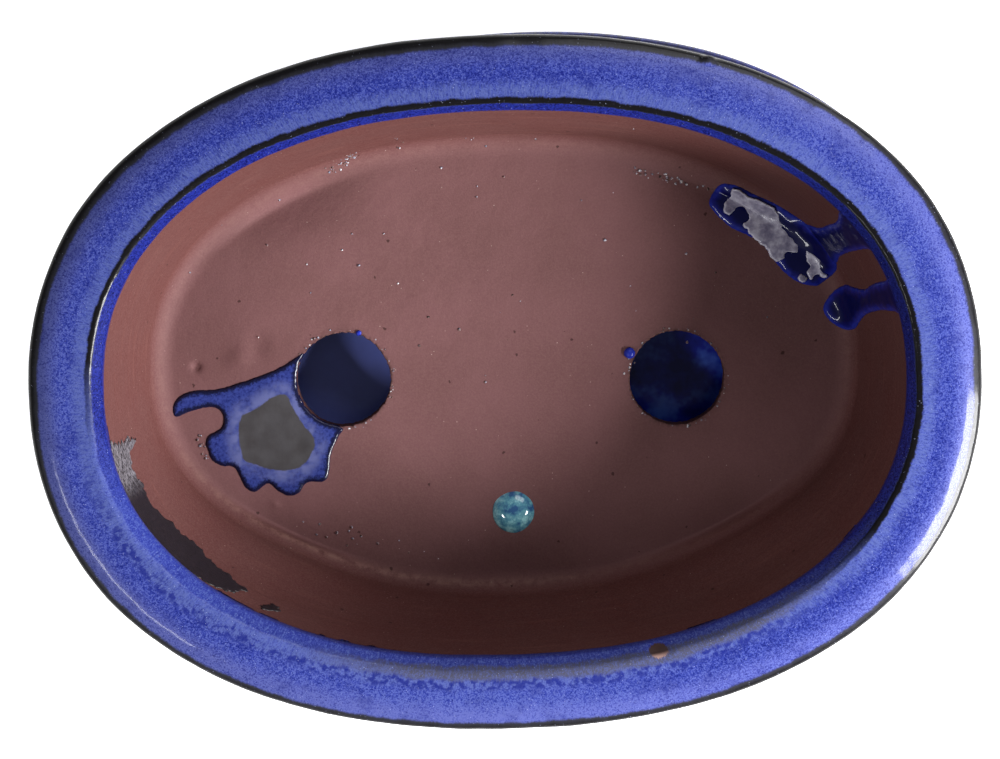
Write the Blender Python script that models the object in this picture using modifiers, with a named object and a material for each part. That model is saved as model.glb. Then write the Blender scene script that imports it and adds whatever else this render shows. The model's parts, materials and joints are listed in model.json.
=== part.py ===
"""An oval glazed bonsai pot standing in its matching drip saucer.

Units are metres, +Z is up, +X runs along the length. The origin is on the surface the saucer
stands on, under the middle of the pot. Every section of both dishes is the same oval, drawn in
by an "inset", so a dish is described by one outline of (inset, height) points.
"""

import math

import bmesh
import bpy
from mathutils import Matrix, Vector

MM = 0.001

# Plan of the oval: a superellipse, a little squarer than an ellipse
POT_LENGTH = 250 * MM
POT_WIDTH = 183 * MM
OVAL_EXPONENT = 2.23
OVAL_SIDES = 48

# Ceramic
GLAZE = 0.7 * MM
GAP = 0.3 * MM
CLAY_UNDER_GLAZE = GLAZE + GAP

# Saucer, the same oval as the pot's lip
SAUCER_HEIGHT = 22 * MM
SAUCER_FLOOR = 7.5 * MM
SAUCER_SKIRT_Z = 3 * MM
SAUCER_SKIRT_DRAW = 2 * MM
SAUCER_RIM_DRAW = 0.8 * MM
SAUCER_RIM_THICKNESS = 4 * MM
SAUCER_RIM_WIDTH = 6 * MM
SAUCER_BASE_INSET = 14 * MM
SAUCER_FLAT = 12 * MM
SAUCER_BASE_RECESS = 1.5 * MM
SAUCER_FOOT_WIDTH = 10 * MM
SAUCER_FOOT_SLOPE = 1 * MM
SAUCER_RECESS_RING = 4 * MM
SAUCER_TURN = math.radians(3.3)

# Pot, heights above the soles of its feet
POT_HEIGHT = 70 * MM
FOOT_HEIGHT = 12 * MM
POT_FLOOR_THICKNESS = 6 * MM
GLAZE_HEM = 3 * MM
WALL_FOOT_INSET = 21 * MM
WALL_FOOT_ROUNDING = 2 * MM
WALL_NECK_INSET = 12 * MM
LIP_THICKNESS = 8.5 * MM
LIP_SLOPE = 1.5 * MM
LIP_ROUNDING = 3 * MM
LIP_WIDTH = 15.5 * MM
INNER_GLAZE_INSET = 19.2 * MM
INNER_GLAZE_DROP = 7 * MM
INNER_THROAT_DROP = 3.5 * MM
FLOOR_CORNER_INSET = 28.5 * MM
FLOOR_CORNER_RADIUS = 7 * MM
FLOOR_START_INSET = 35 * MM
FLOOR_RING_STEP = 2.2 * MM
FLOOR_RINGS = 6

SOLE_Z = SAUCER_FLOOR + GAP
UNDERSIDE_Z = SOLE_Z + FOOT_HEIGHT
FLOOR_Z = UNDERSIDE_Z + POT_FLOOR_THICKNESS
RIM_Z = SOLE_Z + POT_HEIGHT

# Drainage holes, cut by hand a little off the middle
HOLE_RADIUS = 13 * MM
HOLE_SPACING = 92 * MM
HOLE_SIDES = 32
HOLES_CENTRE = Vector((1.5 * MM, -3.7 * MM))
HOLES_TURN = math.radians(-1.4)

# Hollow feet: each has a dent in the floor above it
HOLLOW_INSET = 38 * MM
HOLLOW_HALF_WIDTH = 7 * MM
HOLLOW_DEPTH = 2.5 * MM
HOLLOW_FROM = math.radians(32)
HOLLOW_TO = math.radians(72)
FOOT_FROM = math.radians(30)
FOOT_TO = math.radians(70)
FOOT_STATIONS = 7
FOOT_OUTER_INSET = 24.5 * MM
FOOT_INNER_INSET = 43 * MM
FOOT_TAPER = 2 * MM
FOOT_END_LEAN = math.radians(2)
FOOT_ROUNDING = 1.5 * MM

# Stray glaze lies this far above the clay
CLEARANCE = 0.5 * MM

# Runs and pool on the wall, through stations: the angle round the oval in degrees, then the
# reach below the glaze's edge and the half width in millimetres
POOL_STATIONS = (
    (51.5, 50.0, 2.0),
    (49.0, 50.2, 4.6),
    (43.0, 50.4, 5.8),
    (36.0, 48.7, 6.4),
    (29.0, 48.0, 8.0),
    (23.0, 48.3, 7.0),
    (18.5, 49.5, 2.2),
)
RUN_UPPER_STATIONS = (
    (29.5, 1.0, 6.2),
    (29.0, 12.0, 4.6),
    (28.0, 24.0, 4.2),
    (27.0, 33.0, 4.8),
    (26.6, 38.5, 5.5),
)
RUN_LOWER_STATIONS = (
    (13.8, 1.0, 4.6),
    (13.4, 12.0, 3.8),
    (12.8, 26.0, 3.4),
    (12.0, 36.0, 4.8),
    (11.0, 44.0, 5.6),
    (9.8, 48.5, 3.4),
)
POOL_THICKNESS = 1.6 * MM
RUN_UPPER_THICKNESS = 0.7 * MM
RUN_LOWER_THICKNESS = 0.8 * MM

# A run's cross-section: place across it, and share of its thickness there
RUN_SECTION = ((-1.0, 0.35), (-0.6, 0.85), (0.0, 1.0), (0.6, 0.85), (1.0, 0.35))

DROP_PLACE = Vector((1.3 * MM, -40.9 * MM))
DROP_RADIUS = 5.8 * MM
DROP_HEIGHT = 2.4 * MM
DROP_RINGS = 6
DROP_SIDES = 24

# The spill beside the left drainage hole, in millimetres: an arm to the left, then five toes in
# front. It ends against the hole's edge.
SPILL_THICKNESS = 0.6 * MM
SPILL_OUTLINE = (
    (-55.0, 6.1), (-61.5, 1.6), (-68.0, -1.0), (-80.0, -4.2), (-86.0, -4.4), (-90.0, -5.8),
    (-92.3, -9.0), (-91.5, -11.8), (-83.0, -9.4), (-80.0, -9.6), (-78.2, -12.0), (-79.0, -15.0),
    (-82.4, -17.0), (-83.3, -19.5), (-82.0, -23.5), (-79.5, -25.6), (-75.8, -26.2), (-72.6, -32.2),
    (-70.0, -33.3), (-66.4, -31.1), (-63.4, -33.5), (-60.6, -34.6), (-58.0, -34.0), (-55.6, -31.1),
    (-51.5, -31.0), (-49.5, -29.2), (-48.6, -23.5), (-45.2, -16.6),
)
SPILL_HOLE_FROM = math.radians(258)
SPILL_HOLE_TO = math.radians(150)
SPILL_HOLE_STEPS = 9

# Corners this round or more get the finer arc
WIDE_ARC = 3 * MM
WIDE_ARC_STEPS = 4
NARROW_ARC_STEPS = 2

# Edges sharper than this stay sharp in the shading, and corners sharper than this are bevelled
SHARP_EDGE = math.radians(50)
SHARP_CORNER = math.radians(40)

# A step short enough to measure slopes with
NUDGE = 0.1 * MM


# ---------------------------------------------------------------- outlines


def oval_point(inset, angle, height):
    """The point of the oval, drawn in by the inset, at this angle and height."""
    power = 2 / OVAL_EXPONENT
    across = math.copysign(abs(math.cos(angle)) ** power, math.cos(angle))
    along = math.copysign(abs(math.sin(angle)) ** power, math.sin(angle))
    return Vector(((POT_LENGTH / 2 - inset) * across, (POT_WIDTH / 2 - inset) * along, height))


def rounded_path(corners):
    """The path through corners (inset, height, radius), each turned by an arc of its radius."""
    path = [Vector(corners[0][:2])]
    for before, corner, after in zip(corners, corners[1:], corners[2:]):
        point = Vector(corner[:2])
        radius = corner[2]
        back = (Vector(before[:2]) - point).normalized()
        ahead = (Vector(after[:2]) - point).normalized()
        half = back.angle(ahead) / 2
        centre = point + (back + ahead).normalized() * radius / math.sin(half)
        start = point + back * radius / math.tan(half) - centre
        end = point + ahead * radius / math.tan(half) - centre
        turn = math.atan2(start.x * end.y - start.y * end.x, start.dot(end))
        steps = WIDE_ARC_STEPS if radius >= WIDE_ARC else NARROW_ARC_STEPS
        for i in range(steps + 1):
            angle = turn * i / steps
            cos, sin = math.cos(angle), math.sin(angle)
            path.append(centre + Vector((start.x * cos - start.y * sin, start.x * sin + start.y * cos)))
    path.append(Vector(corners[-1][:2]))
    return path


def inward(path, distance):
    """The path moved by the distance into the clay, which lies on the right of its direction."""
    moved = []
    for i, point in enumerate(path):
        before = path[max(i - 1, 0)]
        after = path[min(i + 1, len(path) - 1)]
        come = (point - before).normalized() if i else (after - point).normalized()
        leave = (after - point).normalized() if i < len(path) - 1 else come
        side = (Vector((come.y, -come.x)) + Vector((leave.y, -leave.x))).normalized()
        spread = side.dot(Vector((come.y, -come.x)))
        moved.append(point + side * distance / spread)
    return moved


def pot_glaze_path():
    """The glaze's outer face: up the outside, over the lip, and a little way down the inside."""
    return rounded_path([
        (WALL_FOOT_INSET, UNDERSIDE_Z + GLAZE_HEM, 0),
        (WALL_NECK_INSET, RIM_Z - LIP_THICKNESS, 5 * MM),
        (0, RIM_Z - LIP_THICKNESS + LIP_SLOPE, LIP_ROUNDING),
        (0, RIM_Z, LIP_ROUNDING),
        (LIP_WIDTH, RIM_Z, 1.2 * MM),
        (INNER_GLAZE_INSET - 0.5 * MM, RIM_Z - INNER_THROAT_DROP, 1.5 * MM),
        (INNER_GLAZE_INSET, RIM_Z - INNER_GLAZE_DROP, 0),
    ])


def pot_inner_path():
    """The bare clay inside, from the end of the glaze down the wall to the flat floor."""
    start = inward(pot_glaze_path(), CLAY_UNDER_GLAZE)[-1]
    return rounded_path([
        (start.x, start.y, 0),
        (FLOOR_CORNER_INSET, FLOOR_Z, FLOOR_CORNER_RADIUS),
        (FLOOR_START_INSET, FLOOR_Z, 0),
    ])


def saucer_glaze_path():
    """The saucer's glazed face: up the outside, over the rim, and down to the flat floor."""
    return rounded_path([
        (SAUCER_BASE_INSET - SAUCER_SKIRT_DRAW, SAUCER_SKIRT_Z, 0),
        (SAUCER_RIM_DRAW, SAUCER_HEIGHT - SAUCER_RIM_THICKNESS, 6 * MM),
        (0, SAUCER_HEIGHT, 2.2 * MM),
        (SAUCER_RIM_WIDTH, SAUCER_HEIGHT, 2.2 * MM),
        (SAUCER_BASE_INSET, SAUCER_FLOOR, 5 * MM),
        (SAUCER_BASE_INSET + SAUCER_FLAT, SAUCER_FLOOR, 0),
    ])


def hollow_drop(inset, angle):
    """How far the floor sinks into the hollow foot below this place."""
    folded = math.asin(abs(math.sin(angle)))
    middle = (HOLLOW_FROM + HOLLOW_TO) / 2
    along = (folded - middle) / (HOLLOW_TO - middle)
    across = (inset - HOLLOW_INSET) / HOLLOW_HALF_WIDTH
    reach = along * along + across * across
    return HOLLOW_DEPTH * (1 - reach) ** 2 * (1 + 2 * reach) if reach < 1 else 0.0


# ---------------------------------------------------------------- building


def clear_scene():
    for obj in list(bpy.data.objects):
        bpy.data.objects.remove(obj, do_unlink=True)


def new_collection(name):
    collection = bpy.data.collections.new(name)
    bpy.context.scene.collection.children.link(collection)
    return collection


def material(name, colour, roughness):
    made = bpy.data.materials.new(name)
    made.use_nodes = True
    shader = made.node_tree.nodes["Principled BSDF"]
    shader.inputs["Base Color"].default_value = (*colour, 1)
    shader.inputs["Roughness"].default_value = roughness
    shader.inputs["Metallic"].default_value = 0.0
    return made


def unglazed_clay():
    return material("unglazed_clay", (0.19, 0.085, 0.075), 0.75)


def cobalt_glaze():
    return material("cobalt_glaze", (0.035, 0.055, 0.42), 0.12)


def teal_glaze():
    return material("teal_glaze", (0.07, 0.30, 0.33), 0.10)


def matte_glaze():
    return material("crawled_glaze", (0.09, 0.11, 0.38), 0.35)


def finished(name, mesh, collection, look):
    """The mesh as an object with its faces pointing out, smooth but for its sharp edges."""
    mesh.shade_smooth()
    mesh.set_sharp_from_angle(angle=SHARP_EDGE)
    obj = bpy.data.objects.new(name, mesh)
    obj.data.materials.append(look)
    collection.objects.link(obj)
    return obj


def mesh_from(name, build):
    made = bmesh.new()
    build(made)
    bmesh.ops.recalc_face_normals(made, faces=made.faces)
    if made.calc_volume(signed=True) < 0:
        bmesh.ops.reverse_faces(made, faces=made.faces)
    mesh = bpy.data.meshes.new(name)
    made.to_mesh(mesh)
    made.free()
    return mesh


def skin(made, rings, around, along):
    """Quads between neighbouring rings. Caps close the ends that don't join up."""
    ring_pairs = list(zip(rings, rings[1:]))
    if along:
        ring_pairs.append((rings[-1], rings[0]))
    for low, high in ring_pairs:
        sides = len(low) if around else len(low) - 1
        for i in range(sides):
            j = (i + 1) % len(low)
            made.faces.new((low[i], low[j], high[j], high[i]))
    if not along:
        made.faces.new(rings[0])
        made.faces.new(rings[-1])


def oval_loft(name, path, closed, sunk_from=None):
    """The path carried round the oval. A closed path makes a hoop, an open one a capped dish.

    Rings from number sunk_from on sink into the hollow feet.
    """
    def build(made):
        rings = []
        for number, (inset, height) in enumerate(path):
            ring = []
            for i in range(OVAL_SIDES):
                angle = 2 * math.pi * i / OVAL_SIDES
                sunk = sunk_from is not None and number >= sunk_from
                drop = hollow_drop(inset, angle) if sunk else 0
                ring.append(made.verts.new(oval_point(inset, angle, height - drop)))
            rings.append(ring)
        skin(made, rings, around=True, along=closed)
    return mesh_from(name, build)


def pot_body_mesh():
    """Underside, outside, lip, inside and floor, the floor sinking into the hollow feet."""
    outside = inward(pot_glaze_path(), CLAY_UNDER_GLAZE)
    base = rounded_path([
        (FOOT_INNER_INSET, UNDERSIDE_Z, 0),
        (outside[0].x + 0.4 * MM, UNDERSIDE_Z, WALL_FOOT_ROUNDING),
        tuple(outside[0]) + (0,),
    ])
    floor = [
        Vector((FLOOR_START_INSET + ring * FLOOR_RING_STEP, FLOOR_Z))
        for ring in range(1, FLOOR_RINGS)
    ]
    hidden = base[:-1] + outside[:-1]
    path = hidden + pot_inner_path() + floor
    return oval_loft("pot_body", path, closed=False, sunk_from=len(hidden) + 1)


def pot_glaze_mesh():
    outer = pot_glaze_path()
    return oval_loft("pot_glaze_coat", outer + inward(outer, GLAZE)[::-1], closed=True)


def saucer_body_mesh():
    clay = inward(saucer_glaze_path(), CLAY_UNDER_GLAZE)
    recess_inset = SAUCER_BASE_INSET + SAUCER_FOOT_WIDTH
    base = rounded_path([
        (recess_inset + SAUCER_RECESS_RING, SAUCER_BASE_RECESS, 0),
        (recess_inset, SAUCER_BASE_RECESS, 0.5 * MM),
        (recess_inset - SAUCER_FOOT_SLOPE, 0, 0.5 * MM),
        (SAUCER_BASE_INSET, 0, 1.5 * MM),
        tuple(clay[0]) + (0,),
    ])
    return oval_loft("saucer_body", base[:-1] + clay, closed=False)


def saucer_glaze_mesh():
    outer = saucer_glaze_path()
    return oval_loft("saucer_glaze_coat", outer[::-1] + inward(outer, GLAZE), closed=False)


def foot_mesh():
    """One bracket foot, bowed to follow the wall and narrowing towards its sole."""
    top = UNDERSIDE_Z - GAP
    outer_sole = FOOT_OUTER_INSET + FOOT_TAPER
    inner_sole = FOOT_INNER_INSET - FOOT_TAPER

    def build(made):
        rings = []
        for i in range(FOOT_STATIONS):
            share = i / (FOOT_STATIONS - 1)
            angle = FOOT_FROM + (FOOT_TO - FOOT_FROM) * share
            leaning = angle + FOOT_END_LEAN * (1 - 2 * share)
            rings.append([
                made.verts.new(oval_point(FOOT_OUTER_INSET, angle, top)),
                made.verts.new(oval_point(FOOT_INNER_INSET, angle, top)),
                made.verts.new(oval_point(inner_sole, leaning, SOLE_Z)),
                made.verts.new(oval_point(outer_sole, leaning, SOLE_Z)),
            ])
        skin(made, rings, around=True, along=False)
    return mesh_from("pot_foot", build)


def add_feet(collection, look):
    """Four feet, one under each quarter of the oval, mirrored from the back right one."""
    for name, across, along in (
        ("pot_foot_back_right", 1, 1),
        ("pot_foot_back_left", -1, 1),
        ("pot_foot_front_left", -1, -1),
        ("pot_foot_front_right", 1, -1),
    ):
        mesh = foot_mesh()
        mesh.transform(Matrix.Diagonal((across, along, 1, 1)))
        if across * along < 0:
            mesh.flip_normals()
        foot = finished(name, mesh, collection, look)
        rounding = foot.modifiers.new("rounded_edges", "BEVEL")
        rounding.width = FOOT_ROUNDING
        rounding.segments = 2
        rounding.limit_method = "ANGLE"
        rounding.angle_limit = SHARP_CORNER


def hole_places():
    """The middles of the left and the right drainage hole."""
    half = HOLE_SPACING / 2 * Vector((math.cos(HOLES_TURN), math.sin(HOLES_TURN)))
    return HOLES_CENTRE - half, HOLES_CENTRE + half


def cut_drainage_holes(body, cutters):
    for number, place in enumerate(hole_places(), 1):
        made = bmesh.new()
        bmesh.ops.create_cone(
            made,
            cap_ends=True,
            segments=HOLE_SIDES,
            radius1=HOLE_RADIUS,
            radius2=HOLE_RADIUS,
            depth=4 * POT_FLOOR_THICKNESS,
        )
        mesh = bpy.data.meshes.new(f"hole_cutter_{number}")
        made.to_mesh(mesh)
        made.free()
        cutter = bpy.data.objects.new(mesh.name, mesh)
        cutter.location = (place.x, place.y, FLOOR_Z - POT_FLOOR_THICKNESS / 2)
        cutter.hide_render = True
        cutter.display_type = "WIRE"
        cutters.objects.link(cutter)
        cut = body.modifiers.new(f"drainage_hole_{number}", "BOOLEAN")
        cut.operation = "DIFFERENCE"
        cut.solver = "EXACT"
        cut.object = cutter


# ---------------------------------------------------------------- stray glaze on the clay


def inner_place(angle, reach):
    """The point of the clay at this angle, this far along the path from the glaze's end."""
    path = pot_inner_path()
    points = path + [path[-1] + Vector((40 * MM, 0))]
    left = reach
    for start, end in zip(points, points[1:]):
        step = (end - start).length
        if left <= step:
            break
        left -= step
    inset, height = start + (end - start).normalized() * left
    on_floor = height < FLOOR_Z + NUDGE
    return oval_point(inset, angle, height - (hollow_drop(inset, angle) if on_floor else 0))


def inner_slopes(angle, reach):
    """How the point of the clay moves with the angle and with the reach."""
    around = inner_place(angle + NUDGE, reach) - inner_place(angle - NUDGE, reach)
    down = inner_place(angle, reach + NUDGE) - inner_place(angle, reach - NUDGE)
    return around / (2 * NUDGE), down / (2 * NUDGE)


def inner_normal(angle, reach):
    """The direction straight out of the clay, towards the inside of the pot."""
    around, down = inner_slopes(angle, reach)
    normal = around.cross(down).normalized()
    middle = Vector((0, 0, RIM_Z))
    return normal if normal.dot(middle - inner_place(angle, reach)) > 0 else -normal


def draped_run(name, stations, thickness, collection, look):
    """A ribbon of glaze on the clay through stations (angle, reach, half width)."""
    stations = [(math.radians(angle), reach * MM, half * MM) for angle, reach, half in stations]
    centres = [inner_place(angle, reach) for angle, reach, _ in stations]

    def build(made):
        rings = []
        for i, (angle, reach, half_width) in enumerate(stations):
            travel = centres[min(i + 1, len(centres) - 1)] - centres[max(i - 1, 0)]
            normal = inner_normal(angle, reach)
            side = normal.cross(travel).normalized() * half_width
            around, down = inner_slopes(angle, reach)
            turn = side.dot(around) / around.length_squared
            fall = side.dot(down) / down.length_squared
            lower = []
            upper = []
            for share, height in RUN_SECTION:
                foot = inner_place(angle + share * turn, max(reach + share * fall, CLEARANCE))
                lower.append(made.verts.new(foot + normal * CLEARANCE))
                upper.append(made.verts.new(foot + normal * (CLEARANCE + thickness * height)))
            rings.append(lower + upper[::-1])
        skin(made, rings, around=True, along=False)
    return finished(name, mesh_from(name, build), collection, look)


def spill_outline():
    """The spill's outline, closed along the edge of the left drainage hole."""
    hole = hole_places()[0]
    radius = HOLE_RADIUS + CLEARANCE
    outline = [Vector(point) * MM for point in SPILL_OUTLINE]
    for i in range(SPILL_HOLE_STEPS + 1):
        angle = SPILL_HOLE_FROM + (SPILL_HOLE_TO - SPILL_HOLE_FROM) * i / SPILL_HOLE_STEPS
        outline.append(hole + radius * Vector((math.cos(angle), math.sin(angle))))
    return outline


def add_spill(collection, look):
    """A flat sheet of glaze on the floor, made from its outline."""
    curve = bpy.data.curves.new("spill_outline", "CURVE")
    curve.dimensions = "2D"
    curve.fill_mode = "BOTH"
    curve.extrude = SPILL_THICKNESS / 2
    corners = spill_outline()
    line = curve.splines.new("POLY")
    line.points.add(len(corners) - 1)
    for point, (x, y) in zip(line.points, corners):
        point.co = (x, y, 0, 1)
    line.use_cyclic_u = True
    outline = bpy.data.objects.new("spill_outline", curve)
    collection.objects.link(outline)
    outline.location.z = FLOOR_Z + CLEARANCE + SPILL_THICKNESS / 2
    bpy.context.view_layer.update()
    evaluated = outline.evaluated_get(bpy.context.evaluated_depsgraph_get())
    mesh = bpy.data.meshes.new_from_object(evaluated)
    made = bmesh.new()
    made.from_mesh(mesh)
    bmesh.ops.remove_doubles(made, verts=made.verts, dist=1e-6)
    bmesh.ops.recalc_face_normals(made, faces=made.faces)
    made.to_mesh(mesh)
    made.free()
    spill = finished("glaze_spill", mesh, collection, look)
    spill.matrix_world = outline.matrix_world.copy()
    bpy.data.objects.remove(outline, do_unlink=True)


def add_drop(collection, look):
    """The domed drop of glaze on the floor: the cap of a ball, turned from its profile."""
    ball = (DROP_RADIUS ** 2 + DROP_HEIGHT ** 2) / (2 * DROP_HEIGHT)
    widest = math.asin(DROP_RADIUS / ball)
    made = bmesh.new()
    line = []
    for i in range(DROP_RINGS + 1):
        lean = widest * i / DROP_RINGS
        height = ball * math.cos(lean) - ball + DROP_HEIGHT
        line.append(made.verts.new((ball * math.sin(lean), 0, height)))
    line.append(made.verts.new((0, 0, 0)))
    for start, end in zip(line, line[1:]):
        made.edges.new((start, end))
    mesh = bpy.data.meshes.new("glaze_drop")
    made.to_mesh(mesh)
    made.free()
    drop = bpy.data.objects.new("glaze_drop", mesh)
    drop.data.materials.append(look)
    collection.objects.link(drop)
    drop.location = (DROP_PLACE.x, DROP_PLACE.y, FLOOR_Z + CLEARANCE)
    turn = drop.modifiers.new("turned", "SCREW")
    turn.axis = "Z"
    turn.steps = DROP_SIDES
    turn.render_steps = DROP_SIDES
    turn.use_merge_vertices = True
    turn.merge_threshold = 1e-5
    turn.use_smooth_shade = True


# ---------------------------------------------------------------- the object


def main():
    clear_scene()
    parts = new_collection("bonsai_pot")
    cutters = new_collection("cutters")
    clay = unglazed_clay()
    cobalt = cobalt_glaze()

    saucer_turn = Matrix.Rotation(SAUCER_TURN, 4, "Z")
    for mesh, look in ((saucer_body_mesh(), clay), (saucer_glaze_mesh(), cobalt)):
        finished(mesh.name, mesh, parts, look).matrix_world = saucer_turn

    body = finished("pot_body", pot_body_mesh(), parts, clay)
    cut_drainage_holes(body, cutters)
    finished("pot_glaze_coat", pot_glaze_mesh(), parts, cobalt)
    add_feet(parts, clay)

    draped_run("glaze_pool", POOL_STATIONS, POOL_THICKNESS, parts, cobalt)
    draped_run("glaze_run_upper", RUN_UPPER_STATIONS, RUN_UPPER_THICKNESS, parts, cobalt)
    draped_run("glaze_run_lower", RUN_LOWER_STATIONS, RUN_LOWER_THICKNESS, parts, cobalt)
    add_spill(parts, matte_glaze())
    add_drop(parts, teal_glaze())


main()
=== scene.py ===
"""The looks of an oval bonsai pot, cobalt glazed over red-brown clay, standing in its saucer.

Units are metres and +Z is up. Every section of the pot and the saucer is the same oval, drawn in
by an "inset", so a surface is an outline of (inset, height) points carried round the oval.
"""

import json
import math

import bmesh
import bpy
import numpy as np
from mathutils import Matrix, Vector, noise
from mathutils.geometry import delaunay_2d_cdt


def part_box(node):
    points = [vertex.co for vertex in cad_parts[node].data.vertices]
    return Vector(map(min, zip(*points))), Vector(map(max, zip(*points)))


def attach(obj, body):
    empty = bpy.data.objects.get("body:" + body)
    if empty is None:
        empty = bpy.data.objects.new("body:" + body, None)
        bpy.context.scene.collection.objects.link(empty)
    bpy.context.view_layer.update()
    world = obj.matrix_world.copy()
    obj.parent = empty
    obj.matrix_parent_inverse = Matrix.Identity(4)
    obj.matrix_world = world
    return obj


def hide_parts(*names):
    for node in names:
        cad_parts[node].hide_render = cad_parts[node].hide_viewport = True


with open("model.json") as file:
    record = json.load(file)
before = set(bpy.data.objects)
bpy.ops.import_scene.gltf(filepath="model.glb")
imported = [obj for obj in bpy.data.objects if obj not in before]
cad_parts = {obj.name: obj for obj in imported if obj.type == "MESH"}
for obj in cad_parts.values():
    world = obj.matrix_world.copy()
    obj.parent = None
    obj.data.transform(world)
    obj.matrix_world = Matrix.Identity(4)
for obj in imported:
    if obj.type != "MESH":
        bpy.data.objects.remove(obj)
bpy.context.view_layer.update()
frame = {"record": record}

MM = 0.001

# ---------------- sizes taken from the frame

COAT_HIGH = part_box("pot_glaze_coat")[1]
HALF_LENGTH = COAT_HIGH.x
HALF_WIDTH = COAT_HIGH.y
RIM_Z = COAT_HIGH.z
UNDERSIDE_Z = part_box("pot_body")[0].z
SOLE_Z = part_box("pot_foot_back_left")[0].z
SAUCER_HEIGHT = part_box("saucer_glaze_coat")[1].z
MOUNTS = {mount["name"]: mount["pos_m"] for mount in frame["record"]["mounts"]}
FLOOR_Z = MOUNTS["planting_floor"][2]
SOLE_GAP = 0.3 * MM
SAUCER_FLOOR_Z = SOLE_Z - SOLE_GAP
SAUCER_TURN = math.radians(3.3)

# ---------------- sizes of the surfaces

OVAL_EXPONENT = 2.23
OVAL_SIDES = 640
LAYER = 1.0 * MM
# Steps for measuring a surface's slope, and between the noises of neighbouring seeds
TURN_STEP = 2e-4
ALONG_STEP = 0.1 * MM
SEED_STEP = 7.31
# A glaze patch's rim and back lie this far inside the clay
RIM_SINK = 0.08 * MM
BACK_DEPTH = 0.35 * MM

WALL_FOOT_INSET = 21.0 * MM
WALL_NECK_INSET = 12.0 * MM
LIP_THICKNESS = 8.5 * MM
LIP_WIDTH = 15.3 * MM
NOSE = 0.5 * MM
# Width of the thin grey band round the nose, at these angles in degrees
NOSE_WIDTHS = (
    np.array([0, 40, 60, 90, 150, 180, 195, 215, 245, 270, 300, 360]),
    np.array([1.7, 1.2, 1.3, 2.4, 2.2, 1.9, 1.4, 1.1, 1.1, 1.4, 1.4, 1.6]) * MM,
)
# How much lighter the lip's colour is made, at these angles in degrees: partly the glaze's own variation,
# partly painted light and shade round the lip
TONES = (
    np.array([0, 50, 90, 140, 180, 225, 270, 300, 330, 360]),
    np.array([-0.01, 0.03, -0.05, -0.04, 0.03, -0.02, 0.07, -0.04, -0.04, -0.01]),
)
CHIP_ANGLE = math.radians(288.4)
CHIP_S = 1.5 * MM
CHIP_RADIUS = 4.6 * MM
BEAD_ANGLE = math.radians(66)
BEAD_S = -15.0 * MM
BEAD_RADIUS = 1.6 * MM
WIDEST_LIP = math.radians(60)
LIP_WIDENING = 0.9 * MM
LIP_FADE = 9.0 * MM
GLAZED_INSIDE = 8.0 * MM
INNER_GLAZE_INSET = 19.2 * MM
INNER_GLAZE_DROP = 7.0 * MM
FLOOR_CORNER_INSET = 28.5 * MM
FLOOR_CORNER_RADIUS = 7.0 * MM
FLOOR_START_INSET = 37.0 * MM
INNERMOST_INSET = 85.0 * MM
UNDERSIDE_INSET = 30.0 * MM
# The walls' foot is thicker round these angles in degrees, between these places down the wall
THICK_MIDDLES = (230, 308)
THICK_SPREAD = 26
THICK_DOWN = (16 * MM, 41 * MM, 44 * MM, 52 * MM)
THICKENING = 3.4 * MM
# How far below the glaze's edge the crest lies where the walls meet the floor; it carries dust and a
# painted highlight
CREST_DOWN = 46.0 * MM

HOLE_RADIUS = 13.0 * MM
HOLE_SPACING = 92.0 * MM
HOLES_CENTRE = (1.5 * MM, -3.7 * MM)
HOLES_TURN = math.radians(-1.4)
HOLE_SIDES = 260
HOLE_CRUMBS = 46
# Rings of points round each hole: distance from its edge, and turn
COLLARS = ((0.22 * MM, 0.012), (0.5 * MM, 0.0), (0.85 * MM, 0.012), (1.25 * MM, 0.0))

HOLLOW_INSET = 34.0 * MM
HOLLOW_TO_WALL = 5.0 * MM
HOLLOW_TO_MIDDLE = 15.0 * MM
HOLLOW_DEPTH = 2.5 * MM
HOLLOW_FROM = math.radians(32)
HOLLOW_TO = math.radians(72)

SAUCER_RIM_WIDTH = 6.0 * MM
SAUCER_BASE_INSET = 14.0 * MM
SAUCER_FOOT_WIDTH = 10.0 * MM
SAUCER_RECESS = 1.5 * MM
SAUCER_SIDES = 400
SAUCER_EDGE_S = 26.5 * MM

FOOT_FROM = math.radians(30)
FOOT_TO = math.radians(70)
FOOT_OUTER_INSET = 24.5 * MM
FOOT_INNER_INSET = 43.0 * MM
FOOT_STATIONS = 48
FOOT_ROWS = 14
FOOT_SWEEP = 0.14

# The round drop of glaze on the floor
DROP_PLACE = (1.3 * MM, -40.9 * MM)
DROP_RADIUS = 5.8 * MM
DROP_HEIGHT = 2.4 * MM
DROP_SIDES = 96
DROP_RINGS = 22

# Marks pressed into the clay floor: x, y, radius and height (down is negative)
FLOOR_MARKS = (
    (-72.8 * MM, 4.6 * MM, 4.5 * MM, 0.55 * MM),
    (-68.0 * MM, 7.5 * MM, 5.0 * MM, -0.45 * MM),
    (-85.1 * MM, 2.0 * MM, 1.6 * MM, -0.9 * MM),
    (-83.5 * MM, -21.5 * MM, 1.0 * MM, -0.5 * MM),
    (-64.5 * MM, -37.0 * MM, 1.2 * MM, 0.35 * MM),
    (-47.0 * MM, 57.0 * MM, 2.6 * MM, -0.5 * MM),
    (33.0 * MM, -48.0 * MM, 6.0 * MM, -0.3 * MM),
)

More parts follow.
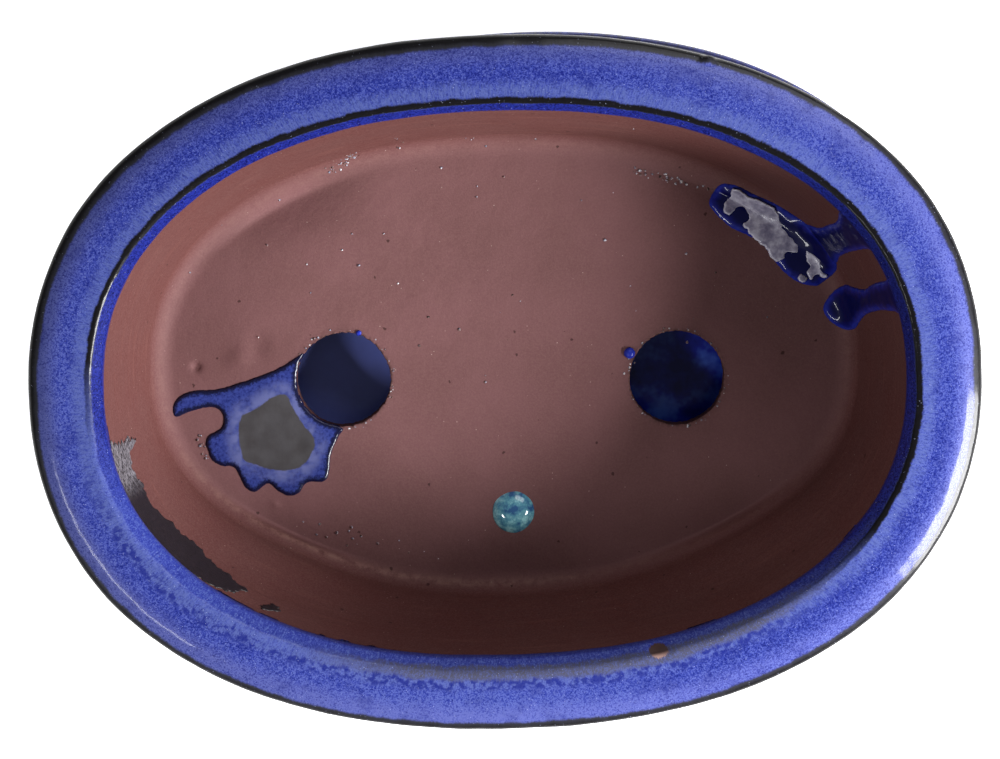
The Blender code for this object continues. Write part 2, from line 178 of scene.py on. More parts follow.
# The spill beside the left hole, in millimetres: an arm to the left, then five toes in front
SPILL = (
    (-54.5, 5.8), (-61.5, 1.6), (-68, -1), (-74, -2.8), (-80, -4.2), (-86, -4.4), (-90, -5.8),
    (-92.3, -9), (-91.5, -11.8), (-88, -10.6), (-83, -9.4), (-80, -9.6), (-78.2, -12), (-79, -15),
    (-82.4, -17), (-83.3, -19.5), (-82, -23.5), (-79.5, -25.6), (-75.8, -26.2), (-74.2, -29),
    (-72.6, -32.2), (-70, -33.3), (-66.4, -31.1), (-63.4, -33.5), (-60.6, -34.6), (-58, -34),
    (-55.6, -31.1), (-51.5, -31), (-49.5, -29.2), (-48.6, -23.5), (-46.5, -18.6), (-45, -16.6),
)
# The spill's middle, in millimetres, where its grey is a painted reflection
SPILL_MIDDLE = (
    (-60.5, -6.4), (-64.6, -7), (-69, -10), (-73, -12), (-74, -17), (-73, -23.8), (-70, -25.5),
    (-63, -27.5), (-57.8, -26.8), (-54.7, -24), (-53, -19.5), (-55.8, -15), (-58.5, -10.5),
)

# Runs and pools on the wall, as (angle in degrees, millimetres below the glaze's edge)
MM_PER_DEGREE = 1.3
POOL = (
    (51.4, 52.8), (51.8, 47.5), (49.4, 45.5), (44.8, 45), (39, 43.2), (35, 42), (30, 39.5),
    (25, 39), (20.2, 42), (17.8, 48.8), (17.9, 51.2), (20, 54), (23.6, 55.8), (28.5, 56.2),
    (35.2, 55.2), (38.9, 55.8), (43.9, 56.5), (49.4, 54.8),
)
RUN_UPPER = (
    (34.5, -1), (33.5, 6), (31.8, 14), (31.4, 24), (31.2, 34), (32.5, 41), (30, 45), (24, 45),
    (21.5, 41), (23, 34), (23.8, 25), (24.2, 14), (24.2, 6), (23.8, -1),
)
RUN_LOWER = (
    (17.3, -1), (17, 6), (16.3, 16.5), (15, 26), (15.2, 34), (15.9, 42), (14.6, 47.5), (11.5, 51),
    (7.9, 50), (5.4, 46.5), (5.4, 42.5), (7, 38.5), (9, 31), (10.3, 18), (10.4, 6), (10.2, -1),
)
# Pale patches on the pool, as (angle, millimetres below the glaze's edge): a painted reflection of the
# light, laid as a thin raised film
REFLECTION_OUTLINE = (
    (49.4, 46), (45.4, 45.8), (42.8, 45), (40, 44.2), (37.5, 46), (34.8, 47.8), (31.6, 48.2),
    (29.4, 48.2), (27.5, 49.8), (29.2, 52.2), (28.4, 53.5), (28.8, 56), (31.1, 55.8), (33.9, 55.2),
    (36.2, 55.2), (38.9, 55.3), (39.5, 54.8), (42.1, 53.8), (41.9, 51.8), (45.4, 51), (45.8, 54),
    (48.4, 52.2), (48.6, 49.2),
)
REFLECTION_SCRAPS = (
    ((27.4, 46.8), (25, 45.8), (22.8, 45.2), (21, 46.6), (19.2, 46), (18.8, 47.4), (20.6, 48.8),
     (19.8, 51), (21.8, 51.4), (23.6, 49.6), (25.4, 49)),
    ((22.4, 52.6), (20.8, 51.6), (19.9, 52.9), (21.3, 54.2)),
)
SMEAR = (
    (188.6, 3), (189.3, 8), (189.3, 14), (189.6, 20.5), (190.5, 22.4), (191, 19), (192, 15.2),
    (194, 13.5), (196.2, 13.2), (199.2, 15), (202.1, 14.2), (206, 14.5), (209.4, 17.5), (213.1, 16.8),
    (216.2, 18.5), (220.1, 16.2), (224.2, 14.5), (227.8, 12.8), (229.4, 11.4), (228, 7), (225, 3.6),
    (221, 1.6), (214, -0.2), (206, -0.8), (198, -0.8), (192, -0.8),
)
SMEAR_SPOT = ((232.6, 5.6), (233.2, 8.5), (234.9, 10.6), (236.4, 9.4), (235, 6.5), (233.4, 4.9))

# Grains on the clay: x, y of a line's two ends in millimetres, how far they stray, and how many
CRUMB_LINES = (
    (-46, 55.6, -39.5, 59.5, 1.8, 34),
    (-41.5, 57.6, -39.5, 60, 1.0, 16),
    (37, 53.4, 60, 45.6, 1.3, 40),
    (45, 51, 50, 49.4, 1.0, 12),
    (-85, -17, -83, -24, 1.2, 12),
    (-30, 62, 12, 63, 2.5, 10),
    (-60, -40, -20, -54, 3.0, 16),
    (-80, 30, 70, 20, 28, 40),
)
# A bead of glaze by each hole: x, y and radius in millimetres
BEADS = ((-39.9, 10.2, 0.8), (34.6, 2.4, 1.6))


# ---------------- outlines and surfaces


def oval(inset, angle):
    """x and y of the oval drawn in by the inset, at the angle. Takes arrays."""
    power = 2 / OVAL_EXPONENT
    cos, sin = np.cos(angle), np.sin(angle)
    x = (HALF_LENGTH - inset) * np.sign(cos) * np.abs(cos) ** power
    y = (HALF_WIDTH - inset) * np.sign(sin) * np.abs(sin) ** power
    return x, y


def oval_inset(x, y):
    """The inset and angle of the oval that passes through x, y. Takes arrays."""
    low = np.zeros_like(x) - 0.01
    high = np.full_like(x, HALF_WIDTH - 0.1 * MM)
    for _ in range(40):
        middle = (low + high) / 2
        size = (np.abs(x) / (HALF_LENGTH - middle)) ** OVAL_EXPONENT
        size = size + (np.abs(y) / (HALF_WIDTH - middle)) ** OVAL_EXPONENT
        inside = size < 1
        low = np.where(inside, middle, low)
        high = np.where(inside, high, middle)
    half = OVAL_EXPONENT / 2
    cos = np.sign(x) * (np.abs(x) / (HALF_LENGTH - low)) ** half
    sin = np.sign(y) * (np.abs(y) / (HALF_WIDTH - low)) ** half
    return low, np.arctan2(sin, cos)


def rounded(corners, steps=12):
    """The path through corners (inset, height, radius), each turned by an arc of its radius."""
    path = [Vector(corners[0][:2])]
    for before, corner, after in zip(corners, corners[1:], corners[2:]):
        point = Vector(corner[:2])
        back = (Vector(before[:2]) - point).normalized()
        ahead = (Vector(after[:2]) - point).normalized()
        half = back.angle(ahead) / 2
        centre = point + (back + ahead).normalized() * corner[2] / math.sin(half)
        start = point + back * corner[2] / math.tan(half) - centre
        end = point + ahead * corner[2] / math.tan(half) - centre
        turn = math.atan2(start.x * end.y - start.y * end.x, start.dot(end))
        for i in range(steps + 1):
            cos, sin = math.cos(turn * i / steps), math.sin(turn * i / steps)
            path.append(centre + Vector((start.x * cos - start.y * sin, start.x * sin + start.y * cos)))
    path.append(Vector(corners[-1][:2]))
    return np.array([tuple(p) for p in path])


def window(value, start, full, still, end):
    """0 outside start and end, 1 between full and still, and straight slopes between."""
    return np.clip(np.minimum((value - start) / (full - start), (end - value) / (end - still)), 0, 1)


def run_lengths(path):
    return np.concatenate([[0], np.cumsum(np.linalg.norm(np.diff(path, axis=0), axis=1))])


class Outline:
    """A path of (inset, height) points, read by the distance s along it from its zero place."""

    def __init__(self, path, zero=0.0, drawn_in=None):
        self.path = path
        self.s = run_lengths(path) - zero
        self.drawn_in = drawn_in or (lambda angle, s: 0.0)

    def at(self, s):
        return np.interp(s, self.s, self.path[:, 0]), np.interp(s, self.s, self.path[:, 1])

    def inward(self, s, depth):
        """The point this deep below the outline, on the right-hand side of its direction."""
        small = 0.15 * MM
        inset_before, height_before = self.at(s - small)
        inset_after, height_after = self.at(s + small)
        along_inset, along_height = inset_after - inset_before, height_after - height_before
        length = np.hypot(along_inset, along_height) + 1e-12
        inset, height = self.at(s)
        return inset + depth * along_height / length, height - depth * along_inset / length


def lip_drawn_in(angle, s):
    """How much further in the lip's inner edge lies at the back and right than at the left."""
    fade = np.where(s < 0, 1 + s / LIP_FADE, 1 - s / GLAZED_INSIDE)
    return LIP_WIDENING * (1 + np.cos(angle - WIDEST_LIP)) * np.clip(fade, 0, 1)


def pot_glaze_outline():
    """Up the outside, over the lip and down the inside. s is 0 at the lip's sharp inner edge."""
    corners = [
        (WALL_FOOT_INSET, UNDERSIDE_Z + 1.0 * MM, 0),
        (WALL_NECK_INSET, RIM_Z - LIP_THICKNESS, 5.0 * MM),
        (-NOSE, RIM_Z - LIP_THICKNESS + 1.5 * MM, 2.5 * MM),
        (-NOSE, RIM_Z - 2.6 * MM, 2.0 * MM),
        (5.5 * MM, RIM_Z, 12.0 * MM),
        (LIP_WIDTH, RIM_Z, 2.6 * MM),
        (INNER_GLAZE_INSET - 0.5 * MM, RIM_Z - 3.5 * MM, 1.5 * MM),
        (INNER_GLAZE_INSET, RIM_Z - INNER_GLAZE_DROP, 0),
    ]
    path = rounded(corners)
    edge = int(np.argmin(np.abs(path[:, 0] - LIP_WIDTH) + np.abs(path[:, 1] - RIM_Z)))
    return Outline(path, run_lengths(path)[edge], lip_drawn_in)


POT_GLAZE = pot_glaze_outline()
GLAZE_END = POT_GLAZE.s[-1]
GLAZE_START = POT_GLAZE.s[0] + 2.0 * MM


def foot_drawn_in(angle, s):
    """How much the walls' foot is thickened, in the middle of the two front quarters."""
    degrees = np.mod(np.degrees(angle), 360)
    around = sum(np.exp(-((degrees - middle) / THICK_SPREAD) ** 2) for middle in THICK_MIDDLES)
    down = window(s, *THICK_DOWN)
    return THICKENING * around * down * down * (3 - 2 * down)


def clay_inner_outline():
    """The clay inside, from under the glaze down to the floor. s is 0 where the glaze ends."""
    top = POT_GLAZE.inward(GLAZE_END - 4 * MM, LAYER)
    end = POT_GLAZE.inward(GLAZE_END, LAYER)
    path = rounded([
        (*top, 0),
        (*end, 0.5 * MM),
        (FLOOR_CORNER_INSET, FLOOR_Z, FLOOR_CORNER_RADIUS),
        (INNERMOST_INSET, FLOOR_Z, 0),
    ])
    nearest = int(np.argmin(np.hypot(path[:, 0] - end[0], path[:, 1] - end[1])))
    return Outline(path, run_lengths(path)[nearest], foot_drawn_in)


CLAY_INNER = clay_inner_outline()


def ripple(points, size, depth, seed):
    """Unevenness of this size and depth at the points, the same in every run."""
    moved = (points / size + seed * SEED_STEP).reshape(-1, 3)
    values = np.array([noise.noise(p) for p in moved.tolist()])
    return depth * values.reshape(points.shape[:-1])


def potters_wobble(points):
    """How far the hand-made walls stray from the true oval. Clay and glaze stray together."""
    return ripple(points, 40 * MM, 0.30 * MM, 1) + ripple(points, 13 * MM, 0.12 * MM, 2)


def surface(outline, angle, s, depth=0.0):
    """Points and outward normals of the outline carried round the oval. Takes arrays."""
    angle, s = np.broadcast_arrays(angle, s)

    def place(angle, s):
        inset, height = outline.inward(s, depth)
        return np.stack([*oval(inset + outline.drawn_in(angle, s), angle), height], -1)

    points = place(angle, s)
    around = place(angle + TURN_STEP, s) - place(angle - TURN_STEP, s)
    along = place(angle, s + ALONG_STEP) - place(angle, s - ALONG_STEP)
    normals = np.cross(around, along)
    normals /= np.linalg.norm(normals, axis=-1, keepdims=True) + 1e-15
    return points, normals


def hollow_drop(inset, angle):
    """How far the floor dips at this place: there is a long hollow above each foot."""
    folded = np.arcsin(np.abs(np.sin(angle)))
    middle = (HOLLOW_FROM + HOLLOW_TO) / 2
    along = (folded - middle) / (HOLLOW_TO - middle)
    across = inset - HOLLOW_INSET
    across = across / np.where(across < 0, HOLLOW_TO_WALL, HOLLOW_TO_MIDDLE)
    away = np.clip(1 - np.sqrt(across * across + 0.01), 0, 1)
    return HOLLOW_DEPTH * away ** 2 * np.clip(1 - along * along, 0, 1) ** 2


def hole_places():
    for side in (-1, 1):
        half = HOLE_SPACING / 2 * side
        yield (
            HOLES_CENTRE[0] + half * math.cos(HOLES_TURN),
            HOLES_CENTRE[1] + half * math.sin(HOLES_TURN),
        )


def hole_radius(number, angle):
    """The hand-cut edge of a drainage hole, a little out of round and ragged."""
    around = np.stack([np.cos(angle), np.sin(angle), np.full_like(angle, number * 3.7)], -1)
    return HOLE_RADIUS + ripple(around, 0.9, 0.25 * MM, 3) + ripple(around, 0.06, 0.22 * MM, 4)


def beside_holes(x, y):
    """Distance from the nearest hole's edge, negative over the hole."""
    nearest = np.full_like(x, 1.0)
    for number, (cx, cy) in enumerate(hole_places()):
        angle = np.arctan2(y - cy, x - cx)
        nearest = np.minimum(nearest, np.hypot(x - cx, y - cy) - hole_radius(number, angle))
    return nearest


def floor_lift(x, y):
    """Height of the bare floor above FLOOR_Z: hollows, wobble, marks and the holes' burr."""
    flat = np.stack([x, y, np.full_like(x, FLOOR_Z)], -1)
    inset, angle = oval_inset(x, y)
    lift = potters_wobble(flat) - hollow_drop(inset, angle)
    lift = lift + ripple(flat, 5 * MM, 0.05 * MM, 5)
    for mark_x, mark_y, radius, height in FLOOR_MARKS:
        lift = lift + height * np.exp(-((x - mark_x) ** 2 + (y - mark_y) ** 2) * 2 / radius ** 2)
    away = np.maximum(beside_holes(x, y), 0)
    burr = 0.5 + 0.5 * ripple(flat, 1.1 * MM, 1.0, 6) + 0.4 * ripple(flat, 0.5 * MM, 1.0, 7)
    return lift + 0.45 * MM * burr * np.exp(-away / (0.7 * MM)) - 0.25 * MM * np.exp(-away / (0.3 * MM))


def clay_place(angle, s):
    """Points and normals of the bare clay inside, at this angle and distance below the glaze."""
    angle, s = np.broadcast_arrays(angle, s)
    points, normals = surface(CLAY_INNER, angle, s)
    points = points + normals * potters_wobble(points)[..., None]
    inset, height = CLAY_INNER.at(s)
    points[..., 2] -= np.where(height < FLOOR_Z + 2 * MM, hollow_drop(inset, angle), 0.0)
    return points, normals


def floor_place(x, y):
    points = np.stack([x, y, FLOOR_Z + floor_lift(x, y)], -1)
    normals = np.zeros_like(points)
    normals[..., 2] = 1
    return points, normals


# ---------------- meshes


def ring_faces(rows, columns, wrap=False):
    """Quads between rows of points that go round."""
    low = np.arange(rows if wrap else rows - 1)[:, None]
    column = np.arange(columns)[None, :]
    beside = (column + 1) % columns
    high = (low + 1) % rows * columns
    low = low * columns
    return np.stack([low + column, low + beside, high + beside, high + column], -1).reshape(-1, 4).tolist()


def capped_faces(rows, columns):
    """Quads between rows of points that go round, and one face across each end."""
    last = (rows - 1) * columns
    return ring_faces(rows, columns) + [list(range(columns)), list(range(last, last + columns))]


def oval_rows(path, angle):
    """A row of points round the oval for each (inset, height) point of the path."""
    x, y = oval(path[:, :1], angle)
    return np.stack([x, y, np.broadcast_to(path[:, 1:], x.shape)], -1)


def circle(middle, radius, angle):
    return np.stack([middle[0] + radius * np.cos(angle), middle[1] + radius * np.sin(angle)], -1)


def spaced(stretches, end):
    """A column of values that rise to the end. Each stretch has a start and a number of steps."""
    ends = [start for start, _ in stretches[1:]] + [end]
    parts = [np.linspace(low, high, count, endpoint=False) for (low, count), high in zip(stretches, ends)]
    return np.concatenate(parts + [[end]])[:, None]


def piece(name, points, faces, facts, look, replaces=(), body="pot"):
    """A mesh object with its seams welded and its faces pointing out, riding on a body.

    A fact has a value for each point, or fewer that its rows, its columns or all points share.
    """
    mesh = bpy.data.meshes.new(name)
    mesh.from_pydata(points.reshape(-1, 3).tolist(), [], faces)
    for fact, values in facts.items():
        wide = np.ndim(values) == points.ndim
        values = np.broadcast_to(values, points.shape if wide else points.shape[:-1])
        layer = mesh.attributes.new(fact, "FLOAT_VECTOR" if wide else "FLOAT", "POINT")
        layer.data.foreach_set("vector" if wide else "value", values.astype(np.float32).ravel())
    made = bmesh.new()
    made.from_mesh(mesh)
    bmesh.ops.remove_doubles(made, verts=made.verts, dist=2e-6)
    bmesh.ops.recalc_face_normals(made, faces=made.faces)
    if made.calc_volume(signed=True) < 0:
        bmesh.ops.reverse_faces(made, faces=made.faces)
    made.to_mesh(mesh)
    made.free()
    mesh.shade_smooth()
    mesh.materials.append(look)
    obj = bpy.data.objects.new(name, mesh)
    bpy.context.scene.collection.objects.link(obj)
    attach(obj, body)
    if replaces:
        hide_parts(*replaces)
    return obj


def wrap_angles(sides):
    return np.arange(sides) * 2 * math.pi / sides


def around_the_oval(angle):
    """A seamless direction whose length follows the distance round the lip."""
    fine = np.linspace(0, 2 * math.pi, 4001)
    x, y = oval(LIP_WIDTH / 2, fine)
    lengths = run_lengths(np.stack([x, y], -1))
    share = np.interp(np.mod(angle, 2 * math.pi), fine, lengths / lengths[-1]) * 2 * math.pi
    radius = lengths[-1] / (2 * math.pi)
    return np.cos(share) * radius, np.sin(share) * radius


def lip_ring(angle):
    """A seamless ring as long as the lip, for what varies round it."""
    return np.stack([*around_the_oval(angle), np.zeros_like(angle)], -1)


def flow(ring, along):
    """Where each point lies round the lip, and how far along the outline."""
    across = np.broadcast_to(ring[..., :2], (*along.shape, 2))
    return np.concatenate([across, along[..., None]], -1)


def ring_length(angle):
    """Distance round the lip, from its right end to the angle."""
    x, y = around_the_oval(angle)
    return np.mod(np.arctan2(y, x), 2 * math.pi) * np.hypot(x, y)


def chip_reach(angle, s):
    """Distance from the middle of the chip in the lip's inner edge: 1 on the chip's outline."""
    around = (ring_length(angle) - ring_length(CHIP_ANGLE)) / CHIP_RADIUS
    return np.hypot(around, (s - CHIP_S) / (0.9 * CHIP_RADIUS))


def triangulated(boundaries, interior, keep):
    """Points and triangles of a flat region: closed boundary loops and points between them."""
    points = np.concatenate(boundaries + [interior])
    edges = []
    first = 0
    for loop in boundaries:
        count = len(loop)
        edges += [(first + i, first + (i + 1) % count) for i in range(count)]
        first += count
    verts, _, faces, *_ = delaunay_2d_cdt([Vector(p) for p in points.tolist()], edges, [], 0, 1e-9)
    flat = np.array([tuple(v) for v in verts])
    triangles = np.array([tuple(f) for f in faces])
    middles = flat[triangles].mean(1)
    return flat, triangles[keep(middles[:, 0], middles[:, 1])]


def hex_points(low, high, spacing):
    """A staggered grid of points over the box from low to high."""
    rows = np.arange(low[1], high[1], spacing * math.sqrt(3) / 2)
    columns = np.arange(low[0], high[0], spacing)
    x = columns[None, :] + (np.arange(len(rows)) % 2)[:, None] * spacing / 2
    y = np.broadcast_to(rows[:, None], x.shape)
    return np.stack([x.ravel(), y.ravel()], -1)


def loop_distance(points, loop):
    """Distance of each point from a closed loop, positive inside it."""
    nearest = np.full(len(points), 1e9)
    crossings = np.zeros(len(points), int)
    for a, b in zip(loop, np.roll(loop, -1, axis=0)):
        ab = b - a
        ap = points - a
        share = np.clip(ap @ ab / max(ab @ ab, 1e-18), 0, 1)
        nearest = np.minimum(nearest, np.linalg.norm(ap - share[:, None] * ab, axis=1))
        over = (a[1] > points[:, 1]) != (b[1] > points[:, 1])
        if over.any() and a[1] != b[1]:
            cut = a[0] + (points[:, 1] - a[1]) * ab[0] / (b[1] - a[1])
            crossings += over & (points[:, 0] < cut)
    return np.where(crossings % 2 == 1, nearest, -nearest)


def smooth_loop(corners, spacing):
    """A closed curve through the corners, as points the spacing apart."""
    corners = np.array(corners, float)
    before, after, beyond = (np.roll(corners, n, axis=0) for n in (1, -1, -2))
    share = (np.arange(12) / 12)[None, :, None]
    a, b, c, d = (p[:, None, :] for p in (before, corners, after, beyond))
    curve = 0.5 * (
        2 * b + (c - a) * share + (2 * a - 5 * b + 4 * c - d) * share ** 2
        + (3 * b - a - 3 * c + d) * share ** 3
    )
    curve = curve.reshape(-1, 2)
    closed = np.concatenate([curve, curve[:1]])
    lengths = run_lengths(closed)
    count = max(int(lengths[-1] / spacing), 12)
    even = np.linspace(0, lengths[-1], count, endpoint=False)
    return np.stack([np.interp(even, lengths, closed[:, i]) for i in (0, 1)], -1)


def ragged_loop(loop, depth, seed):
    """The loop pushed in and out by an unevenness of this depth."""
    tangent = np.roll(loop, -1, axis=0) - np.roll(loop, 1, axis=0)
    outwards = np.stack([tangent[:, 1], -tangent[:, 0]], -1)
    outwards /= np.linalg.norm(outwards, axis=1, keepdims=True)
    flat = np.pad(loop, ((0, 0), (0, 1)))
    return loop + outwards * ripple(flat, 1.3 * MM, depth, seed)[:, None]


def patch(name, corners, place, thickness, look, *, replaces=(), spacing=0.5 * MM,
          shoulder=0.5 * MM, ragged=0.12 * MM, seed=1):
    """A closed film of glaze lying on a surface inside an outline.

    place turns the outline's own two coordinates into points and normals of the surface. The top
    swells from the outline over the shoulder's width, and the back lies just inside the clay.
    """
    loop = ragged_loop(smooth_loop(corners, spacing), ragged, seed)
    grid = hex_points(loop.min(0), loop.max(0), spacing)
    grid = grid[loop_distance(grid, loop) > spacing * 0.45]
    chart, triangles = triangulated(
        [loop], grid, lambda x, y: loop_distance(np.stack([x, y], -1), loop) > 0
    )
    rim = np.arange(len(chart)) < len(loop)
    edge = np.where(rim, 0, np.maximum(loop_distance(chart, loop), 0))
    points, normals = place(chart[:, 0], chart[:, 1])
    swell = thickness * (1 - np.exp(-edge / shoulder))
    swell = swell + np.where(rim, -RIM_SINK, ripple(points, 4 * MM, thickness * 0.2, seed + 1))
    top = points + normals * swell[:, None]
    back = points[~rim] - normals[~rim] * BACK_DEPTH
    place_in_back = np.cumsum(~rim) - 1 + len(chart)
    twin = np.where(rim, np.arange(len(chart)), place_in_back)
    faces = triangles.tolist() + twin[triangles][:, ::-1].tolist()
    chart = np.pad(chart, ((0, 0), (0, 1)))
    facts = {"edge": np.concatenate([edge, edge[~rim]]), "chart": np.concatenate([chart, chart[~rim]])}
    return piece(name, np.concatenate([top, back]), faces, facts, look, replaces)


# ---------------- materials


def rgb(red, green, blue):
    """A linear colour from display values of 0 to 255."""
    def linear(value):
        value = value / 255
        return value / 12.92 if value <= 0.04045 else ((value + 0.055) / 1.055) ** 2.4
    return (linear(red), linear(green), linear(blue), 1.0)


class Look:
    """A node material. Each method adds a node and returns its output."""

    def __init__(self, name):
        self.material = bpy.data.materials.new(name)
        self.material.use_nodes = True
        self.tree = self.material.node_tree
        self.shader = self.tree.nodes["Principled BSDF"]
        self.colour = None

    def feed(self, socket, value):
        if isinstance(value, bpy.types.NodeSocket):
            self.tree.links.new(value, socket)
        else:
            socket.default_value = value

    def node(self, kind, out=0, settings=(), **inputs):
        made = self.tree.nodes.new(kind)
        for key, value in dict(settings).items():
            setattr(made, key, value)
        for key, value in inputs.items():
            self.feed(made.inputs[int(key[1:]) if key[1:].isdigit() else key.replace("_", " ")], value)
        return made.outputs[out]

    def fact(self, name, vector=False):
        made = self.tree.nodes.new("ShaderNodeAttribute")
        made.attribute_name = name
        return made.outputs["Vector" if vector else "Fac"]

    def position(self):
        return self.node("ShaderNodeTexCoord", out=3)

    def stretched(self, vector, x, y, z):
        return self.node("ShaderNodeVectorMath", settings={"operation": "MULTIPLY"}, _0=vector,
                         _1=(x, y, z))

    def bent(self, vector, size, amount):
        """The vector pushed about by a noise of this size, to make round shapes irregular."""
        push = self.node("ShaderNodeTexNoise", out=1, Vector=vector, Scale=1 / size)
        push = self.stretched(push, amount, amount, amount)
        return self.node("ShaderNodeVectorMath", settings={"operation": "ADD"}, _0=vector, _1=push)

    def noise(self, vector, size, detail=2.0, rough=0.5):
        return self.node("ShaderNodeTexNoise", Vector=vector, Scale=1 / size, Detail=detail,
                         Roughness=rough)

    def cells(self, vector, size, feature="F1", out=0):
        return self.node("ShaderNodeTexVoronoi", out=out, settings={"feature": feature}, Vector=vector,
                         Scale=1 / size)

    def sum(self, a, b):
        return self.node("ShaderNodeMath", settings={"operation": "ADD"}, _0=a, _1=b)

    def times(self, a, b):
        return self.node("ShaderNodeMath", settings={"operation": "MULTIPLY"}, _0=a, _1=b)

    def step(self, value, low, high, to_low=0.0, to_high=1.0):
        """Moves smoothly from to_low to to_high as the value goes from low to high."""
        return self.node("ShaderNodeMapRange", settings={"interpolation_type": "SMOOTHSTEP"}, _0=value,
                         _1=low, _2=high, _3=to_low, _4=to_high)

    def band(self, value, start, full, still, end):
        """0 outside start and end, 1 between full and still, and smooth slopes between."""
        return self.times(self.step(value, start, full), self.step(value, end, still))

    def shared(self, a, share, b):
        """This share of a, and the rest of b."""
        return self.sum(self.times(a, share), self.times(b, 1 - share))

    def strayed(self, value, push, low, high, reach):
        """The value moved by up to the reach either way, as the push goes from low to high."""
        return self.sum(value, self.step(push, low, high, -reach, reach))

    def cover(self, factor, colour):
        """Lays the colour over the material's own colour so far."""
        self.colour = self.blend(factor, self.colour, colour)

    def blend(self, factor, a, b):
        return self.node("ShaderNodeMix", out=2, settings={"data_type": "RGBA"}, _0=factor, _6=a, _7=b)

    def ramp(self, value, stops):
        made = self.tree.nodes.new("ShaderNodeValToRGB")
        self.feed(made.inputs[0], value)
        elements = made.color_ramp.elements
        while len(elements) < len(stops):
            elements.new(0.5)
        for element, (place, colour) in zip(elements, stops):
            element.position = place
            element.color = colour
        return made.outputs[0]

    def bump(self, height, depth, normal=None):
        made = self.tree.nodes.new("ShaderNodeBump")
        made.inputs["Distance"].default_value = depth
        self.feed(made.inputs["Height"], height)
        if normal is not None:
            self.feed(made.inputs["Normal"], normal)
        return made.outputs[0]

    def finish(self, **values):
        """Sets the shader's inputs and gives back the material."""
        for key, value in {"Base_Color": self.colour, **values}.items():
            self.feed(self.shader.inputs[key.replace("_", " ")], value)
        return self.material


DEEP_BLUE = rgb(20, 27, 98)
MID_BLUE = rgb(42, 53, 132)
PALE_BLUE = rgb(74, 84, 150)
LILAC = rgb(80, 86, 146)
SKY_BLUE = rgb(76, 87, 142)
NEAR_BLACK = rgb(13, 12, 15)
THIN_GREY = rgb(38, 38, 44)
DUSTY_GREY = rgb(66, 66, 80)
NAVY = rgb(10, 13, 58)
CLAY_FLOOR = rgb(103, 68, 70)
CLAY_WALL = rgb(77, 37, 34)
FIRED_CLAY = rgb(140, 112, 106)
CHIP_DARK_CLAY = rgb(62, 44, 42)


def grainy(look, place):
    """A value about 0.5 with the fine salt-and-pepper grain of the glaze."""
    soft = look.noise(place, 0.6 * MM, 3.0, 0.7)
    cells = look.node("ShaderNodeSeparateColor", _0=look.cells(place, 0.27 * MM, out=1))
    return look.shared(soft, 0.72, cells)


def hanging_glaze(look, flow):
    """The steep outside, where the glaze has run down in soft streaks of light and dark blue."""
    fine = look.noise(look.stretched(flow, 1, 1, 0.25), 0.6 * MM, 3.0, 0.7)
    drips = look.noise(look.stretched(flow, 1, 1, 0.13), 3.2 * MM, 3.0, 0.6)
    return look.ramp(look.shared(fine, 0.45, drips), [(0.38, NAVY), (0.5, DEEP_BLUE), (0.64, MID_BLUE)])


